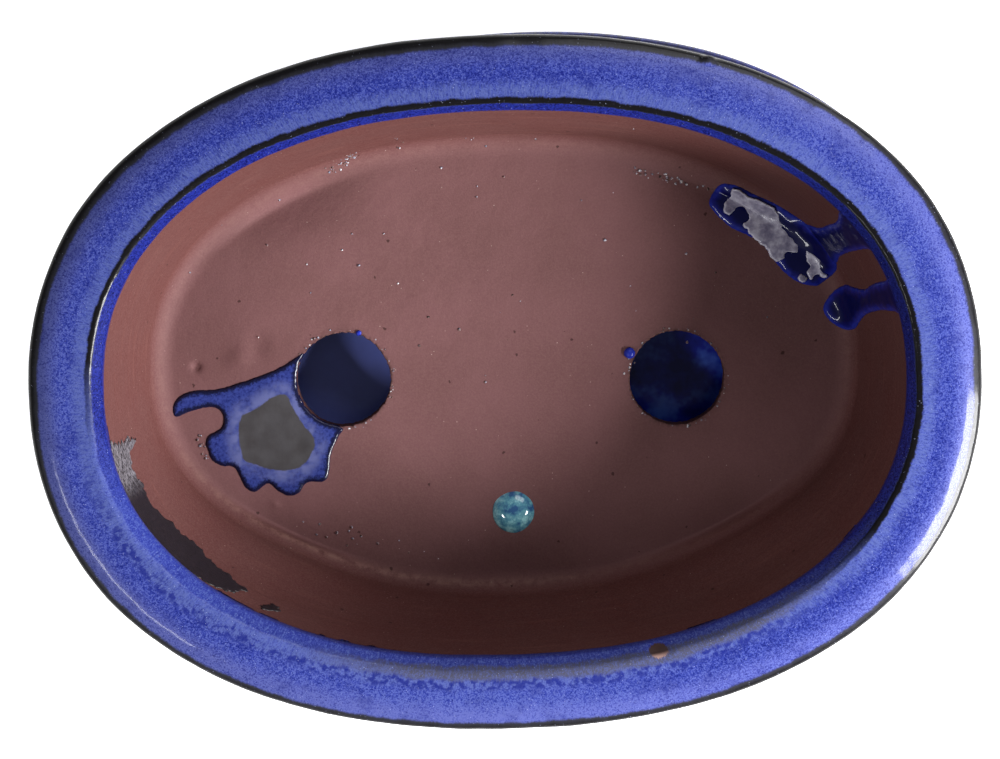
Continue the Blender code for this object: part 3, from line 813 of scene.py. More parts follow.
def cobalt_look():
    """The lip's mottled cobalt glaze, thin and dark where it breaks over an edge."""
    look = Look("cobalt_glaze")
    flow = look.fact("flow", vector=True)
    place = look.position()
    s = look.fact("along")
    grain = grainy(look, place)
    cloud = look.noise(place, 7 * MM, 3.0, 0.6)
    streak = look.noise(look.stretched(flow, 1, 1, 0.25), 0.45 * MM, 3.0, 0.75)
    wavy = look.strayed(look.strayed(s, streak, 0.25, 0.75, 0.4 * MM), cloud, 0.3, 0.7, 0.5 * MM)
    calm = look.strayed(look.strayed(s, cloud, 0.3, 0.7, 0.25 * MM), streak, 0.25, 0.75, 0.16 * MM)

    # Painted light and shade in part: the lip's colour is lightened or darkened round the ring by the tone
    # table
    toned = look.sum(grain, look.fact("tone"))
    look.colour = look.ramp(toned, [(0.33, DEEP_BLUE), (0.48, MID_BLUE), (0.64, PALE_BLUE)])
    # Lilac over the lip's outer band: partly the glaze's milky colour, partly a painted sheen where the
    # rounding catches the lamps
    milky_and_sheen = look.times(look.step(wavy, -6.5 * MM, -12 * MM), look.step(toned, 0.3, 0.6, 0.2, 0.8))
    look.cover(milky_and_sheen, LILAC)
    look.cover(look.step(cloud, 0.5, 0.3, 0.0, 0.35), DEEP_BLUE)
    frost = look.times(look.step(wavy, -5.5 * MM, -2.6 * MM), look.step(streak, 0.35, 0.65, 0.2, 0.9))
    look.cover(frost, SKY_BLUE)

    inner = look.ramp(grain, [(0.36, rgb(7, 10, 64)), (0.62, rgb(30, 40, 122))])
    mixed = look.shared(streak, 0.5, grain)
    thin = look.ramp(mixed, [(0.38, rgb(26, 36, 112)), (0.5, MID_BLUE), (0.62, rgb(70, 84, 146))])
    thin = look.blend(look.step(s, GLAZE_END - 2.4 * MM, GLAZE_END - 0.4 * MM, 0.0, 0.85), thin, NAVY)
    inner = look.blend(look.fact("pale"), inner, thin)
    look.cover(look.step(wavy, 0.2 * MM, 1.2 * MM), inner)
    black = look.band(calm, -1.4 * MM, -0.8 * MM, 0.5 * MM, 1.1 * MM)
    look.cover(look.times(black, look.fact("worn")), NEAR_BLACK)
    spots = look.times(look.band(wavy, -5.4 * MM, -4.0 * MM, -2.6 * MM, -1.2 * MM),
                       look.step(look.noise(place, 1.8 * MM, 3.0), 0.44, 0.58, 0.0, 0.8))
    look.cover(look.times(spots, look.fact("pale")), rgb(18, 26, 104))
    dusty = look.times(look.band(wavy, -2.8 * MM, -1.2 * MM, 1.2 * MM, 2.6 * MM), look.fact("dusty"))
    dusty = look.times(dusty, look.step(mixed, 0.6, 0.42, 0.5, 1.0))
    look.cover(dusty, DUSTY_GREY)

    nose = look.sum(calm, look.fact("narrow"))
    look.cover(look.step(nose, -12.4 * MM, -13.4 * MM), THIN_GREY)
    look.cover(look.step(nose, -13.4 * MM, -14.6 * MM), NEAR_BLACK)
    look.cover(look.step(wavy, -19 * MM, -23 * MM), hanging_glaze(look, flow))
    hem = look.strayed(s, streak, 0.2, 0.8, 0.8 * MM)
    look.cover(look.step(hem, GLAZE_START + 3.4 * MM, GLAZE_START + 2.0 * MM), NEAR_BLACK)
    # Painted glints: small pale dots standing in for light caught in pinholes of the glaze
    painted_glints = look.step(look.cells(place, 0.9 * MM), 0.12, 0.08)
    painted_glints = look.times(painted_glints, look.step(look.noise(place, 2.5 * MM), 0.45, 0.6, 0.0, 0.6))
    look.cover(painted_glints, rgb(170, 176, 205))
    chipped = look.step(look.sum(look.fact("chipped"), look.times(streak, 0.5)), 0.6, 0.7)
    # Bare clay in the chip: darker down its inner face, lighter towards the lip's top
    bare = look.blend(look.step(s, 1.0 * MM, -0.6 * MM), CHIP_DARK_CLAY, FIRED_CLAY)
    look.cover(chipped, bare)

    relief = look.bump(grain, 0.03 * MM, look.bump(look.noise(place, 5 * MM, 2.0), 0.12 * MM))
    return look.finish(Roughness=look.step(grain, 0.3, 0.7, 0.28, 0.42), Normal=relief,
                       Specular_IOR_Level=0.08, Coat_Weight=0.18, Coat_Roughness=0.1)


def saucer_look():
    """The saucer's glaze: the same cobalt, deep navy where it lies thick on the floor."""
    look = Look("saucer_glaze")
    flow = look.fact("flow", vector=True)
    place = look.position()
    s = look.fact("along")
    grain = grainy(look, place)
    cloud = look.noise(place, 9 * MM, 3.0, 0.6)
    wall = hanging_glaze(look, flow)
    near_edge = look.band(s, *(SAUCER_EDGE_S + reach * MM for reach in (-5, -3, 3, 5)))
    look.colour = look.blend(near_edge, wall, THIN_GREY)
    floor = look.ramp(cloud, [(0.35, rgb(10, 16, 108)), (0.5, rgb(20, 32, 146)), (0.66, rgb(60, 92, 190))])
    # Painted sheen: the floor is paler and greyer blue towards the left, standing in for light reflected
    # in its glaze
    left = look.step(look.node("ShaderNodeSeparateXYZ", _0=place), 10 * MM, -30 * MM, 0.0, 0.85)
    floor = look.blend(left, floor, rgb(112, 124, 204))
    look.cover(look.step(s, 36 * MM, 44 * MM), floor)
    relief = look.bump(look.noise(place, 5 * MM, 2.0), 0.15 * MM)
    return look.finish(Roughness=0.2, Normal=relief, Specular_IOR_Level=0.25,
                       Coat_Weight=0.1, Coat_Roughness=0.05)


def clay_look():
    """Bare red-brown stoneware: greyer on the floor, partly a painted sheen, redder on the walls, with
    pale and iron specks.
    """
    look = Look("bare_clay")
    place = look.position()
    steep = look.fact("steep")
    cloud = look.noise(place, 22 * MM, 4.0, 0.55)
    # Painted sheen in part: the floor is lighter and greyer than the walls, partly the clay's tone, partly
    # the sheen of light on the flat floor
    look.colour = look.blend(steep, CLAY_FLOOR, CLAY_WALL)
    look.cover(look.step(cloud, 0.3, 0.7, 0.0, 0.35), rgb(82, 52, 50))
    drag = look.noise(look.stretched(place, 0.25, 0.25, 3.0), 5 * MM, 4.0, 0.6)
    look.cover(look.times(steep, look.step(drag, 0.5, 0.75, 0.0, 0.25)), rgb(112, 70, 62))
    fine = look.noise(place, 0.5 * MM, 3.0, 0.7)
    look.cover(look.step(fine, 0.3, 0.8, 0.0, 0.4), rgb(120, 88, 84))
    # Pale band along the crest between walls and floor: partly dust, partly a painted highlight where the
    # crest catches the light
    dust = look.times(look.fact("dust"), look.step(look.noise(place, 3 * MM, 4.0, 0.7), 0.35, 0.65))
    look.cover(dust, rgb(132, 100, 92))
    # Darker within about half a millimetre of the holes' cut edges
    burnt = look.times(look.fact("burnt"), look.step(look.noise(place, 0.8 * MM), 0.4, 0.6, 0.2, 0.9))
    look.cover(burnt, rgb(44, 26, 22))
    pale = look.step(look.cells(place, 2.1 * MM), 0.08, 0.04, 0.0, 0.7)
    pale = look.times(pale, look.step(look.noise(place, 7 * MM), 0.5, 0.65))
    look.cover(pale, rgb(186, 166, 156))
    iron = look.step(look.cells(look.bent(place, 1.2 * MM, 1.2 * MM), 7.5 * MM), 0.07, 0.05, 0.0, 0.8)
    look.cover(iron, rgb(50, 26, 23))
    relief = look.bump(fine, 0.05 * MM, look.bump(look.noise(place, 3 * MM, 3.0), 0.12 * MM))
    relief = look.bump(drag, 0.2 * MM, relief)
    return look.finish(Roughness=0.7, Normal=relief, Specular_IOR_Level=0.2)


def dark_glaze_look():
    """Thick stray glaze: near-black navy, bluer where it thins towards its edge."""
    look = Look("pooled_glaze")
    place = look.position()
    thin = look.strayed(look.fact("edge"), look.noise(place, 2 * MM), 0.2, 0.8, 0.5 * MM)
    shades = [(0.0, rgb(34, 46, 150)), (0.35, rgb(22, 28, 118)), (1.0, rgb(10, 13, 70))]
    look.colour = look.ramp(look.step(thin, 0.1 * MM, 3.0 * MM), shades)
    return look.finish(Roughness=0.3, Specular_IOR_Level=0.05, Coat_Weight=0.3,
                       Coat_Roughness=0.04)


def painted_reflection_look():
    """Painted reflection on the pool: pale, matt patches standing in for the light mirrored in its glassy
    top.
    """
    look = Look("torn_skin")
    place = look.position()
    cloud = look.noise(place, 3 * MM, 3.0, 0.6)
    shades = [(0.35, rgb(116, 112, 140)), (0.5, rgb(152, 148, 172)), (0.65, rgb(192, 190, 208))]
    look.colour = look.ramp(cloud, shades)
    # Painted reflection: paler still along the patches' rims
    reflection_rim = look.step(look.fact("edge"), 0.7 * MM, 0.1 * MM, 0.0, 0.8)
    look.cover(reflection_rim, rgb(214, 214, 230))
    relief = look.bump(look.noise(place, 0.7 * MM, 3.0), 0.1 * MM)
    return look.finish(Roughness=0.4, Normal=relief, Coat_Weight=0.2,
                       Coat_Roughness=0.15)


def crumb_look():
    """Burnt brown grit with paler grains and crusts of blue-grey glaze among it."""
    look = Look("grit")
    place = look.position()
    shades = [
        (0.36, rgb(44, 26, 23)), (0.46, rgb(112, 82, 74)), (0.55, rgb(96, 104, 128)),
        (0.64, rgb(196, 190, 192)),
    ]
    look.colour = look.ramp(look.noise(place, 0.9 * MM, 2.0), shades)
    relief = look.bump(look.noise(place, 0.2 * MM), 0.05 * MM)
    return look.finish(Roughness=0.5, Normal=relief)


def smear_look():
    """A thin, metallic-grey film of glaze dragged down the wall, silvery where it starts."""
    look = Look("dragged_glaze")
    place = look.position()
    streak = look.noise(look.stretched(place, 1, 1, 3), 1.2 * MM, 4.0, 0.7)
    around = look.node("ShaderNodeSeparateXYZ", _0=look.fact("chart", vector=True))
    silver = look.step(around, 262 * MM, 254 * MM)
    look.colour = look.ramp(streak, [(0.35, rgb(15, 12, 15)), (0.65, rgb(36, 30, 34))])
    look.cover(look.times(silver, look.step(streak, 0.4, 0.6)), rgb(116, 112, 118))
    return look.finish(Roughness=0.45, Normal=look.bump(streak, 0.08 * MM),
                       Specular_IOR_Level=0.3)


def spill_look():
    """The crawled spill: mottled blue, dark-rimmed, paler round its rougher middle of painted grey
    reflection.
    """
    look = Look("crawled_glaze")
    edge = look.fact("edge")
    middle = look.fact("middle")
    place = look.position()
    grain = look.noise(place, 0.9 * MM, 3.0, 0.7)
    blot = look.noise(place, 4 * MM, 2.0)
    look.colour = look.ramp(grain, [(0.3, rgb(19, 25, 86)), (0.6, rgb(48, 60, 128))])
    pale = look.times(look.step(middle, -5.0 * MM, -0.8 * MM), look.step(blot, 0.35, 0.6, 0.25, 1.0))
    look.cover(pale, rgb(88, 94, 142))
    wavy = look.strayed(edge, grain, 0.3, 0.7, 0.3 * MM)
    look.cover(look.step(wavy, 1.9 * MM, 0.8 * MM), rgb(12, 14, 44))
    ragged = look.strayed(middle, look.noise(place, 1.5 * MM, 3.0), 0.3, 0.7, 0.15 * MM)
    # Painted reflection: the flat middle is coloured grey as if it mirrored the grey ceiling above
    grey = look.ramp(look.noise(place, 5 * MM, 3.0), [(0.35, rgb(52, 49, 51)), (0.65, rgb(62, 60, 63))])
    look.cover(look.step(ragged, -0.2 * MM, 0.3 * MM), grey)
    rough = look.step(middle, -0.2 * MM, 0.4 * MM, 0.22, 0.55)
    return look.finish(Roughness=rough, Normal=look.bump(grain, 0.04 * MM),
                       Specular_IOR_Level=0.4)


def teal_look():
    """Crackled teal glass, paler towards the middle of each crackle."""
    look = Look("teal_glaze")
    place = look.position()
    depth = look.noise(place, 3.2 * MM, 3.0, 0.6)
    shades = [(0.36, rgb(46, 88, 138)), (0.5, rgb(88, 150, 170)), (0.66, rgb(150, 206, 212))]
    look.colour = look.ramp(depth, shades)
    crackle = look.cells(look.bent(place, 1.5 * MM, 1.2 * MM), 1.6 * MM, "DISTANCE_TO_EDGE")
    look.cover(look.step(crackle, 0.06, 0.02, 0.0, 0.35), rgb(40, 96, 128))
    return look.finish(Roughness=0.1, Coat_Weight=0.5, Coat_Roughness=0.03)


# ---------------- the pot


def coat_lift(points, angle, s, start):
    """How far the glaze's face lies off its outline: unevenness, rolled hem, chip and bead."""
    lift = potters_wobble(points) + ripple(points, 6 * MM, 0.07 * MM, 15)
    lift = lift + 0.25 * MM * np.exp(-((s - start - 2.2 * MM) / (1.4 * MM)) ** 2)
    lift = lift + ripple(points, 1.6 * MM, 0.025 * MM, 16)
    lift = lift + ripple(points, 0.9 * MM, 0.08 * MM, 17) * np.exp(-(s / (0.8 * MM)) ** 2)
    lift = lift - 0.5 * MM * np.clip(1 - chip_reach(angle, s), 0, 1)
    bead_reach = np.hypot(ring_length(angle) - ring_length(BEAD_ANGLE), s - BEAD_S) / BEAD_RADIUS
    return lift + BEAD_RADIUS * 0.7 * np.clip(1 - bead_reach ** 2, 0, 1)


def glaze_coat(look):
    """The pot's coat of glaze, from its wavy lower edge over the lip to its edge inside."""
    angle = wrap_angles(OVAL_SIDES)[None, :]
    ring = lip_ring(angle)
    end = GLAZE_END + ripple(ring, 12 * MM, 0.5 * MM, 11) + ripple(ring, 3 * MM, 0.2 * MM, 12)
    start = GLAZE_START + ripple(ring, 15 * MM, 1.6 * MM, 13) + ripple(ring, 4 * MM, 0.4 * MM, 14)
    base = spaced(((GLAZE_START, 25), (-26 * MM, 11), (-18 * MM, 20), (-11 * MM, 16),
                   (-1.2 * MM, 13), (1.4 * MM, 13)), GLAZE_END)
    s = np.where(base > 0, base * end / GLAZE_END, base * start / GLAZE_START)
    taper = np.clip(1 - np.minimum(end - s, s - start) / (1.3 * MM), 0, 1)
    depth = (LAYER + 0.05 * MM) * (1 - np.sqrt(1 - taper ** 2))
    points, normals = surface(POT_GLAZE, angle, s, depth)
    front = points + normals * coat_lift(points, angle, s, start)[..., None]

    back_s = start + 1.6 * MM + np.linspace(0, 1, 14)[::-1, None] * (end - start - 3.2 * MM)
    points, normals = surface(POT_GLAZE, angle, back_s, 0.9 * MM)
    back = points + normals * potters_wobble(points)[..., None]

    rows = np.concatenate([front, back])
    along = np.concatenate([s, back_s])
    degrees = np.degrees(angle)
    facts = {
        "along": along,
        "flow": flow(ring, along),
        "narrow": NOSE_WIDTHS[1].max() - np.interp(degrees, *NOSE_WIDTHS),
        "worn": 1 - window(degrees, 174, 190, 306, 330),
        "pale": window(degrees, 184, 206, 300, 326),
        "tone": np.interp(degrees, *TONES),
        "dusty": window(degrees, 240, 258, 304, 322),
        "chipped": np.clip(1 - chip_reach(angle, along), 0, 1),
    }
    piece("cobalt_coat", rows, ring_faces(*along.shape, wrap=True), facts, look,
          ["pot_glaze_coat"])


def pot_sides(angle, floor_start):
    """Rows from the underside up the outside, over the lip and down inside to the floor."""
    base = rounded([
        (UNDERSIDE_INSET, UNDERSIDE_Z, 0),
        (WALL_FOOT_INSET + 1.6 * MM, UNDERSIDE_Z, 1.5 * MM),
        (*POT_GLAZE.inward(POT_GLAZE.s[0], LAYER), 0),
    ], steps=5)
    hidden_s = spaced(((POT_GLAZE.s[0], 10), (-22 * MM, 13)), GLAZE_END - 3 * MM)
    points, normals = surface(POT_GLAZE, angle, hidden_s, LAYER)
    hidden = points + normals * potters_wobble(points)[..., None]
    wall_s = np.concatenate([np.arange(-2 * MM, floor_start, 0.75 * MM), [floor_start]])[:, None]
    wall, wall_normals = clay_place(angle, wall_s)
    rows = np.concatenate([oval_rows(base[:-1], angle), hidden, wall])
    covered = len(rows) - len(wall)
    steep = np.pad(1 - np.clip(wall_normals[..., 2], 0, 1) ** 2, ((covered, 0), (0, 0)), constant_values=1)
    down = np.repeat(np.pad(wall_s[:, 0], (covered, 0)), angle.size)
    return rows.reshape(-1, 3), ring_faces(*rows.shape[:2]), steep.ravel(), down


def pierced(inset, loops, spacing, rim_gap, hole_gap, collars=()):
    """A flat oval with the holes left out, as points and triangles."""
    rim = np.stack(oval(inset, wrap_angles(OVAL_SIDES)), -1)
    grid = hex_points((-HALF_LENGTH, -HALF_WIDTH), (HALF_LENGTH, HALF_WIDTH), spacing)
    grid_inset, _ = oval_inset(grid[:, 0], grid[:, 1])
    grid = grid[(grid_inset > inset + rim_gap) & (beside_holes(grid[:, 0], grid[:, 1]) > hole_gap)]
    return triangulated([rim, *loops], np.concatenate([grid, *collars]),
                        lambda x, y: beside_holes(x, y) > -0.02 * MM)


def hole_rings(gap=0.0, turn=0.0):
    """A ring this far outside the ragged edge of each hole."""
    angle = wrap_angles(HOLE_SIDES)
    return [
        circle(middle, hole_radius(number, angle) + gap, angle + turn)
        for number, middle in enumerate(hole_places())
    ]


def pot_floor(angle, floor_start, loops):
    """The floor's upper face, with rings of small triangles round the holes."""
    rings = [hole_rings(*ring) for ring in COLLARS]
    collars = [ring[number] for number in range(len(loops)) for ring in rings]
    flat, triangles = pierced(FLOOR_START_INSET, loops, 0.92 * MM, 0.4 * MM, 1.6 * MM, collars)
    top, _ = floor_place(flat[:, 0], flat[:, 1])
    top[:OVAL_SIDES] = clay_place(angle[0], floor_start)[0]
    return top, triangles.tolist(), 0.0, 0.0


def pot_underside(loops):
    flat, triangles = pierced(UNDERSIDE_INSET, loops, 3 * MM, 1.5 * MM, 2 * MM)
    return np.column_stack([flat, np.full(len(flat), UNDERSIDE_Z)]), triangles.tolist(), 0.5, 0.0


def hole_wall(loop):
    top_z = floor_place(loop[:, 0], loop[:, 1])[0][:, 2]
    share = np.linspace(0, 1, 9)[:, None]
    z = top_z * (1 - share) + UNDERSIDE_Z * share
    tube = np.concatenate([np.broadcast_to(loop, (*z.shape, 2)), z[..., None]], -1)
    return tube.reshape(-1, 3), ring_faces(*z.shape), 1.0, 0.0


def pot_clay(look):
    """The clay pot: bare inside and below, with its two hand-cut drainage holes."""
    angle = wrap_angles(OVAL_SIDES)[None, :]
    floor_start = float(np.interp(FLOOR_START_INSET, CLAY_INNER.path[:, 0], CLAY_INNER.s))
    loops = hole_rings()
    parts = [pot_sides(angle, floor_start), pot_floor(angle, floor_start, loops), pot_underside(loops)]
    parts += [hole_wall(loop) for loop in loops]
    faces = []
    first = 0
    for part, part_faces, *_ in parts:
        faces += [tuple(first + i for i in face) for face in part_faces]
        first += len(part)
    points = np.concatenate([part[0] for part in parts])
    steep, down = (
        np.concatenate([np.broadcast_to(part[i], len(part[0])) for part in parts]) for i in (2, 3)
    )
    degrees = np.mod(np.degrees(np.arctan2(points[:, 1] * HALF_LENGTH, points[:, 0] * HALF_WIDTH)), 360)
    ridge = np.exp(-((down - CREST_DOWN) / (1.3 * MM)) ** 2)
    facts = {
        "steep": steep,
        "dust": ridge * (0.15 + 0.65 * window(degrees, 195, 232, 262, 290)),
        "burnt": np.exp(-np.maximum(beside_holes(points[:, 0], points[:, 1]), 0) / (0.5 * MM)),
    }
    piece("clay_pot", points, faces, facts, look, ["pot_body"])


# ---------------- stray glaze


def glaze_spill(look):
    """The crawled spill, which ends at the left hole's edge."""
    edge = circle(next(hole_places()), HOLE_RADIUS - 0.1 * MM, np.radians(np.arange(262, 130, -12)))
    made = patch("spill", np.concatenate([np.array(SPILL) * MM, edge]), floor_place, 0.45 * MM, look,
                 replaces=["glaze_spill"], spacing=0.45 * MM, seed=21)
    middle = smooth_loop(np.array(SPILL_MIDDLE) * MM, 0.8 * MM)
    co = np.zeros(len(made.data.vertices) * 3)
    made.data.vertices.foreach_get("co", co)
    values = loop_distance(co.reshape(-1, 3)[:, :2], middle).astype(np.float32)
    made.data.attributes.new("middle", "FLOAT", "POINT").data.foreach_set("value", values)


def wall_chart(x, y):
    return clay_place(np.radians(x / (MM_PER_DEGREE * MM)), y)


def on_wall(outline):
    return [(angle * MM_PER_DEGREE * MM, below * MM) for angle, below in outline]


def raised(place, height):
    """The same surface, this much higher."""
    def higher(x, y):
        points, normals = place(x, y)
        return points + normals * height, normals
    return higher


def stray_films(reflection_film, smear):
    """The pale patches on the pool, a painted reflection, and the film dragged down the left wall."""
    on_pool = raised(wall_chart, 1.25 * MM)
    for number, outline in enumerate((REFLECTION_OUTLINE, *REFLECTION_SCRAPS)):
        patch(f"pool_reflection_patch_{number + 1}", on_wall(outline), on_pool, 0.3 * MM, reflection_film,
              spacing=0.35 * MM, shoulder=0.25 * MM, ragged=0.5 * MM, seed=60 + number)
    above_clay = raised(wall_chart, 0.12 * MM)
    for number, outline in enumerate((SMEAR, SMEAR_SPOT)):
        patch(f"smear_{number + 1}", on_wall(outline), above_clay, 0.1 * MM, smear,
              spacing=0.4 * MM, shoulder=0.3 * MM, ragged=1.5 * MM, seed=70 + number)


def stray_glaze(look):
    """The pool and the two runs of thick glaze on the right of the back wall."""
    for name, outline, thickness, shoulder, seed in (
        ("pool", POOL, 1.5, 1.6, 31), ("run_upper", RUN_UPPER, 0.8, 0.9, 33),
        ("run_lower", RUN_LOWER, 1.1, 1.0, 35),
    ):
        patch(name, on_wall(outline), wall_chart, thickness * MM, look,
              replaces=[f"glaze_{name}"], shoulder=shoulder * MM, seed=seed)


def clay_height(x, y):
    """The height of the clay inside at x, y, from the walls' foot to the middle of the floor."""
    inset, angle = oval_inset(x, y)
    height = np.interp(inset, CLAY_INNER.path[:, 0], CLAY_INNER.path[:, 1])
    return height - hollow_drop(inset, angle) + potters_wobble(np.stack([x, y, height], -1))


def grains(name, places, squash, rough, look):
    """One piece of many small lumps sitting on the clay, each at (x, y, radius)."""
    ball = bmesh.new()
    bmesh.ops.create_icosphere(ball, subdivisions=2, radius=1)
    shape = np.array([tuple(v.co) for v in ball.verts])
    triangles = np.array([[v.index for v in face.verts] for face in ball.faces])
    ball.free()
    places = np.array(places)
    height = clay_height(places[:, 0], places[:, 1])
    points, faces = [], []
    for number, (x, y, radius) in enumerate(places):
        lump = shape * (1 + ripple(shape, 0.7, rough, 80 + number))[:, None] * radius
        lump = lump * (1, 1, squash) + (x, y, height[number] + radius * squash * 0.25)
        faces.extend((triangles + number * len(shape)).tolist())
        points.append(lump)
    piece(name, np.concatenate(points), faces, {}, look)


def crumbs(clay, glass):
    """Grit left on the clay: along the walls' foot, round the holes, and two beads of glaze."""
    random = np.random.default_rng(5)
    places = []
    for x0, y0, x1, y1, stray, count in CRUMB_LINES:
        share = random.random(count)
        places += [
            ((x0 + (x1 - x0) * t + a) * MM, (y0 + (y1 - y0) * t + b) * MM, size * MM)
            for t, (a, b), size in zip(share, random.normal(0, stray / 2, (count, 2)),
                                       random.uniform(0.12, 0.42, count))
        ]
    for cx, cy in hole_places():
        turns = random.uniform(0, 2 * math.pi, HOLE_CRUMBS)
        gaps = random.exponential(0.35, HOLE_CRUMBS)
        sizes = random.uniform(0.12, 0.36, HOLE_CRUMBS)
        for turn, gap, size in zip(turns, gaps, sizes):
            reach = HOLE_RADIUS + (0.35 + gap) * MM
            places.append((cx + reach * math.cos(turn), cy + reach * math.sin(turn), size * MM))
    grains("crumbs", places, 0.6, 0.5, clay)
    grains("beads", np.array(BEADS) * MM, 0.7, 0.15, glass)


def glaze_drop(look):
    """The domed drop of glaze on the floor."""
    angle = wrap_angles(DROP_SIDES)[None, :]
    share = np.linspace(1, 0.02, DROP_RINGS)[:, None]
    ball = (DROP_RADIUS ** 2 + DROP_HEIGHT ** 2) / (2 * DROP_HEIGHT)
    ring = np.stack([np.cos(angle), np.sin(angle), np.zeros_like(angle)], -1)
    radius = share * (DROP_RADIUS + ripple(ring, 0.7, 0.25 * MM, 41))
    rise = np.sqrt(np.maximum(ball ** 2 - (share * DROP_RADIUS) ** 2, 0)) - (ball - DROP_HEIGHT)
    height = np.broadcast_to(FLOOR_Z + rise - 0.05 * MM, radius.shape)
    top = np.concatenate([circle(DROP_PLACE, radius, angle), height[..., None]], -1)
    low = top[:1].copy()
    low[..., 2] = FLOOR_Z - 0.5 * MM
    rows = np.concatenate([low, top])
    piece("drop", rows, capped_faces(*rows.shape[:2]), {}, look, ["glaze_drop"])


# ---------------- the saucer


def saucer_outline():
    """The saucer's glazed face. s is 0 at its lower edge."""
    return Outline(rounded([
        (SAUCER_BASE_INSET - 2 * MM, 3 * MM, 0),
        (0.8 * MM, SAUCER_HEIGHT - 4 * MM, 6 * MM),
        (0, SAUCER_HEIGHT, 2.2 * MM),
        (SAUCER_RIM_WIDTH, SAUCER_HEIGHT, 2.2 * MM),
        (SAUCER_BASE_INSET, SAUCER_FLOOR_Z, 5 * MM),
        (SAUCER_BASE_INSET + 12 * MM, SAUCER_FLOOR_Z, 0),
    ]))


def dish_rows(outline, spacing, depth, angle, floor_rows):
    """Rows from the outline's lower edge up, over and across the floor to near its middle."""
    s = np.linspace(0, outline.s[-1], int(outline.s[-1] / spacing))[:, None]
    points, normals = surface(outline, angle, s, depth)
    points = points + normals * ripple(points, 30 * MM, 0.25 * MM, 51)[..., None]
    shrink = np.linspace(1, 0.01, floor_rows + 1)[1:, None, None]
    floor = points[-1][None] * np.array([1, 1, 0]) * shrink
    edge_z = points[-1, :, 2]
    shrink = shrink[..., 0]
    floor[..., 2] = edge_z * shrink + edge_z.mean() * (1 - shrink)
    floor[..., 2] += ripple(floor, 12 * MM, 0.06 * MM, 52) * (1 - shrink)
    return np.concatenate([points, floor]), len(s)


def turned(points):
    return points @ np.array(Matrix.Rotation(SAUCER_TURN, 3, "Z")).T


def saucer_coat(look):
    """The saucer's glaze: the floor, the rim and the outside."""
    outline = saucer_outline()
    angle = wrap_angles(SAUCER_SIDES)[None, :]
    top, count = dish_rows(outline, 0.9 * MM, 0.0, angle, 60)
    under, _ = dish_rows(outline, 2.5 * MM, 0.85 * MM, angle, 8)
    rows = np.concatenate([under[::-1], top])
    s = np.linspace(0, outline.s[-1], count)
    along = np.concatenate([np.zeros(len(under)), s, np.full(len(top) - count, s[-1])])
    along = np.broadcast_to(along[:, None], rows.shape[:2])
    facts = {"along": along, "flow": flow(lip_ring(angle), along)}
    piece("saucer_coat", turned(rows), capped_faces(*along.shape), facts, look,
          ["saucer_glaze_coat"], "saucer")


def saucer_clay(look):
    """The saucer's clay: its recessed base, its foot ring and what lies under the glaze."""
    outline = saucer_outline()
    angle = wrap_angles(SAUCER_SIDES)[None, :]
    recess_inset = SAUCER_BASE_INSET + SAUCER_FOOT_WIDTH
    base = rounded([
        (recess_inset + 4 * MM, SAUCER_RECESS, 0),
        (recess_inset, SAUCER_RECESS, 0.5 * MM),
        (recess_inset - 1 * MM, 0, 0.5 * MM),
        (SAUCER_BASE_INSET, 0, 1.5 * MM),
        (*outline.inward(0, LAYER), 0),
    ], steps=5)[:-1]
    low = oval_rows(base, angle)
    inner, _ = dish_rows(outline, 2.0 * MM, LAYER, angle, 10)
    shrink = np.linspace(0.01, 1, 12)[:-1, None, None]
    under = low[:1] * np.array([1, 1, 0]) * shrink + np.array([0, 0, SAUCER_RECESS])
    rows = np.concatenate([under, low, inner])
    piece("saucer_clay", turned(rows), capped_faces(*rows.shape[:2]), {"steep": 0.5}, look,
          ["saucer_body"], "saucer")


# ---------------- feet


def feet(look):
    """Bracket feet that follow the wall, their ends sweeping up to the underside."""
    share = np.linspace(0, 1, FOOT_STATIONS)[:, None]
    angle = FOOT_FROM + (FOOT_TO - FOOT_FROM) * share
    sweep = np.clip(np.minimum(share, 1 - share) / FOOT_SWEEP, 0, 1)
    lift = (1 - np.sqrt(1 - (1 - sweep) ** 2)) * 0.75
    top_z = UNDERSIDE_Z + 0.2 * MM
    sole = SOLE_Z + lift * (UNDERSIDE_Z - SOLE_Z)
    down = np.linspace(0, 1, FOOT_ROWS)
    rounding = 1.2 * MM * np.maximum(0, down - 0.85) / 0.15
    outer = FOOT_OUTER_INSET + 2.2 * MM * down ** 2 + rounding
    inner = FOOT_INNER_INSET - 2.0 * MM * down ** 2 - rounding
    x, y = oval(np.concatenate([outer, inner[::-1]])[None, :], angle)
    z = top_z + (sole - top_z) * np.concatenate([down, down[::-1]])[None, :]
    for name, across, along in (
        ("back_right", 1, 1), ("back_left", -1, 1), ("front_left", -1, -1), ("front_right", 1, -1)
    ):
        piece(f"foot_{name}", np.stack([x * across, y * along, z], -1), capped_faces(*z.shape),
              {"steep": 0.5}, look, [f"pot_foot_{name}"])


# ---------------- camera, floor and light


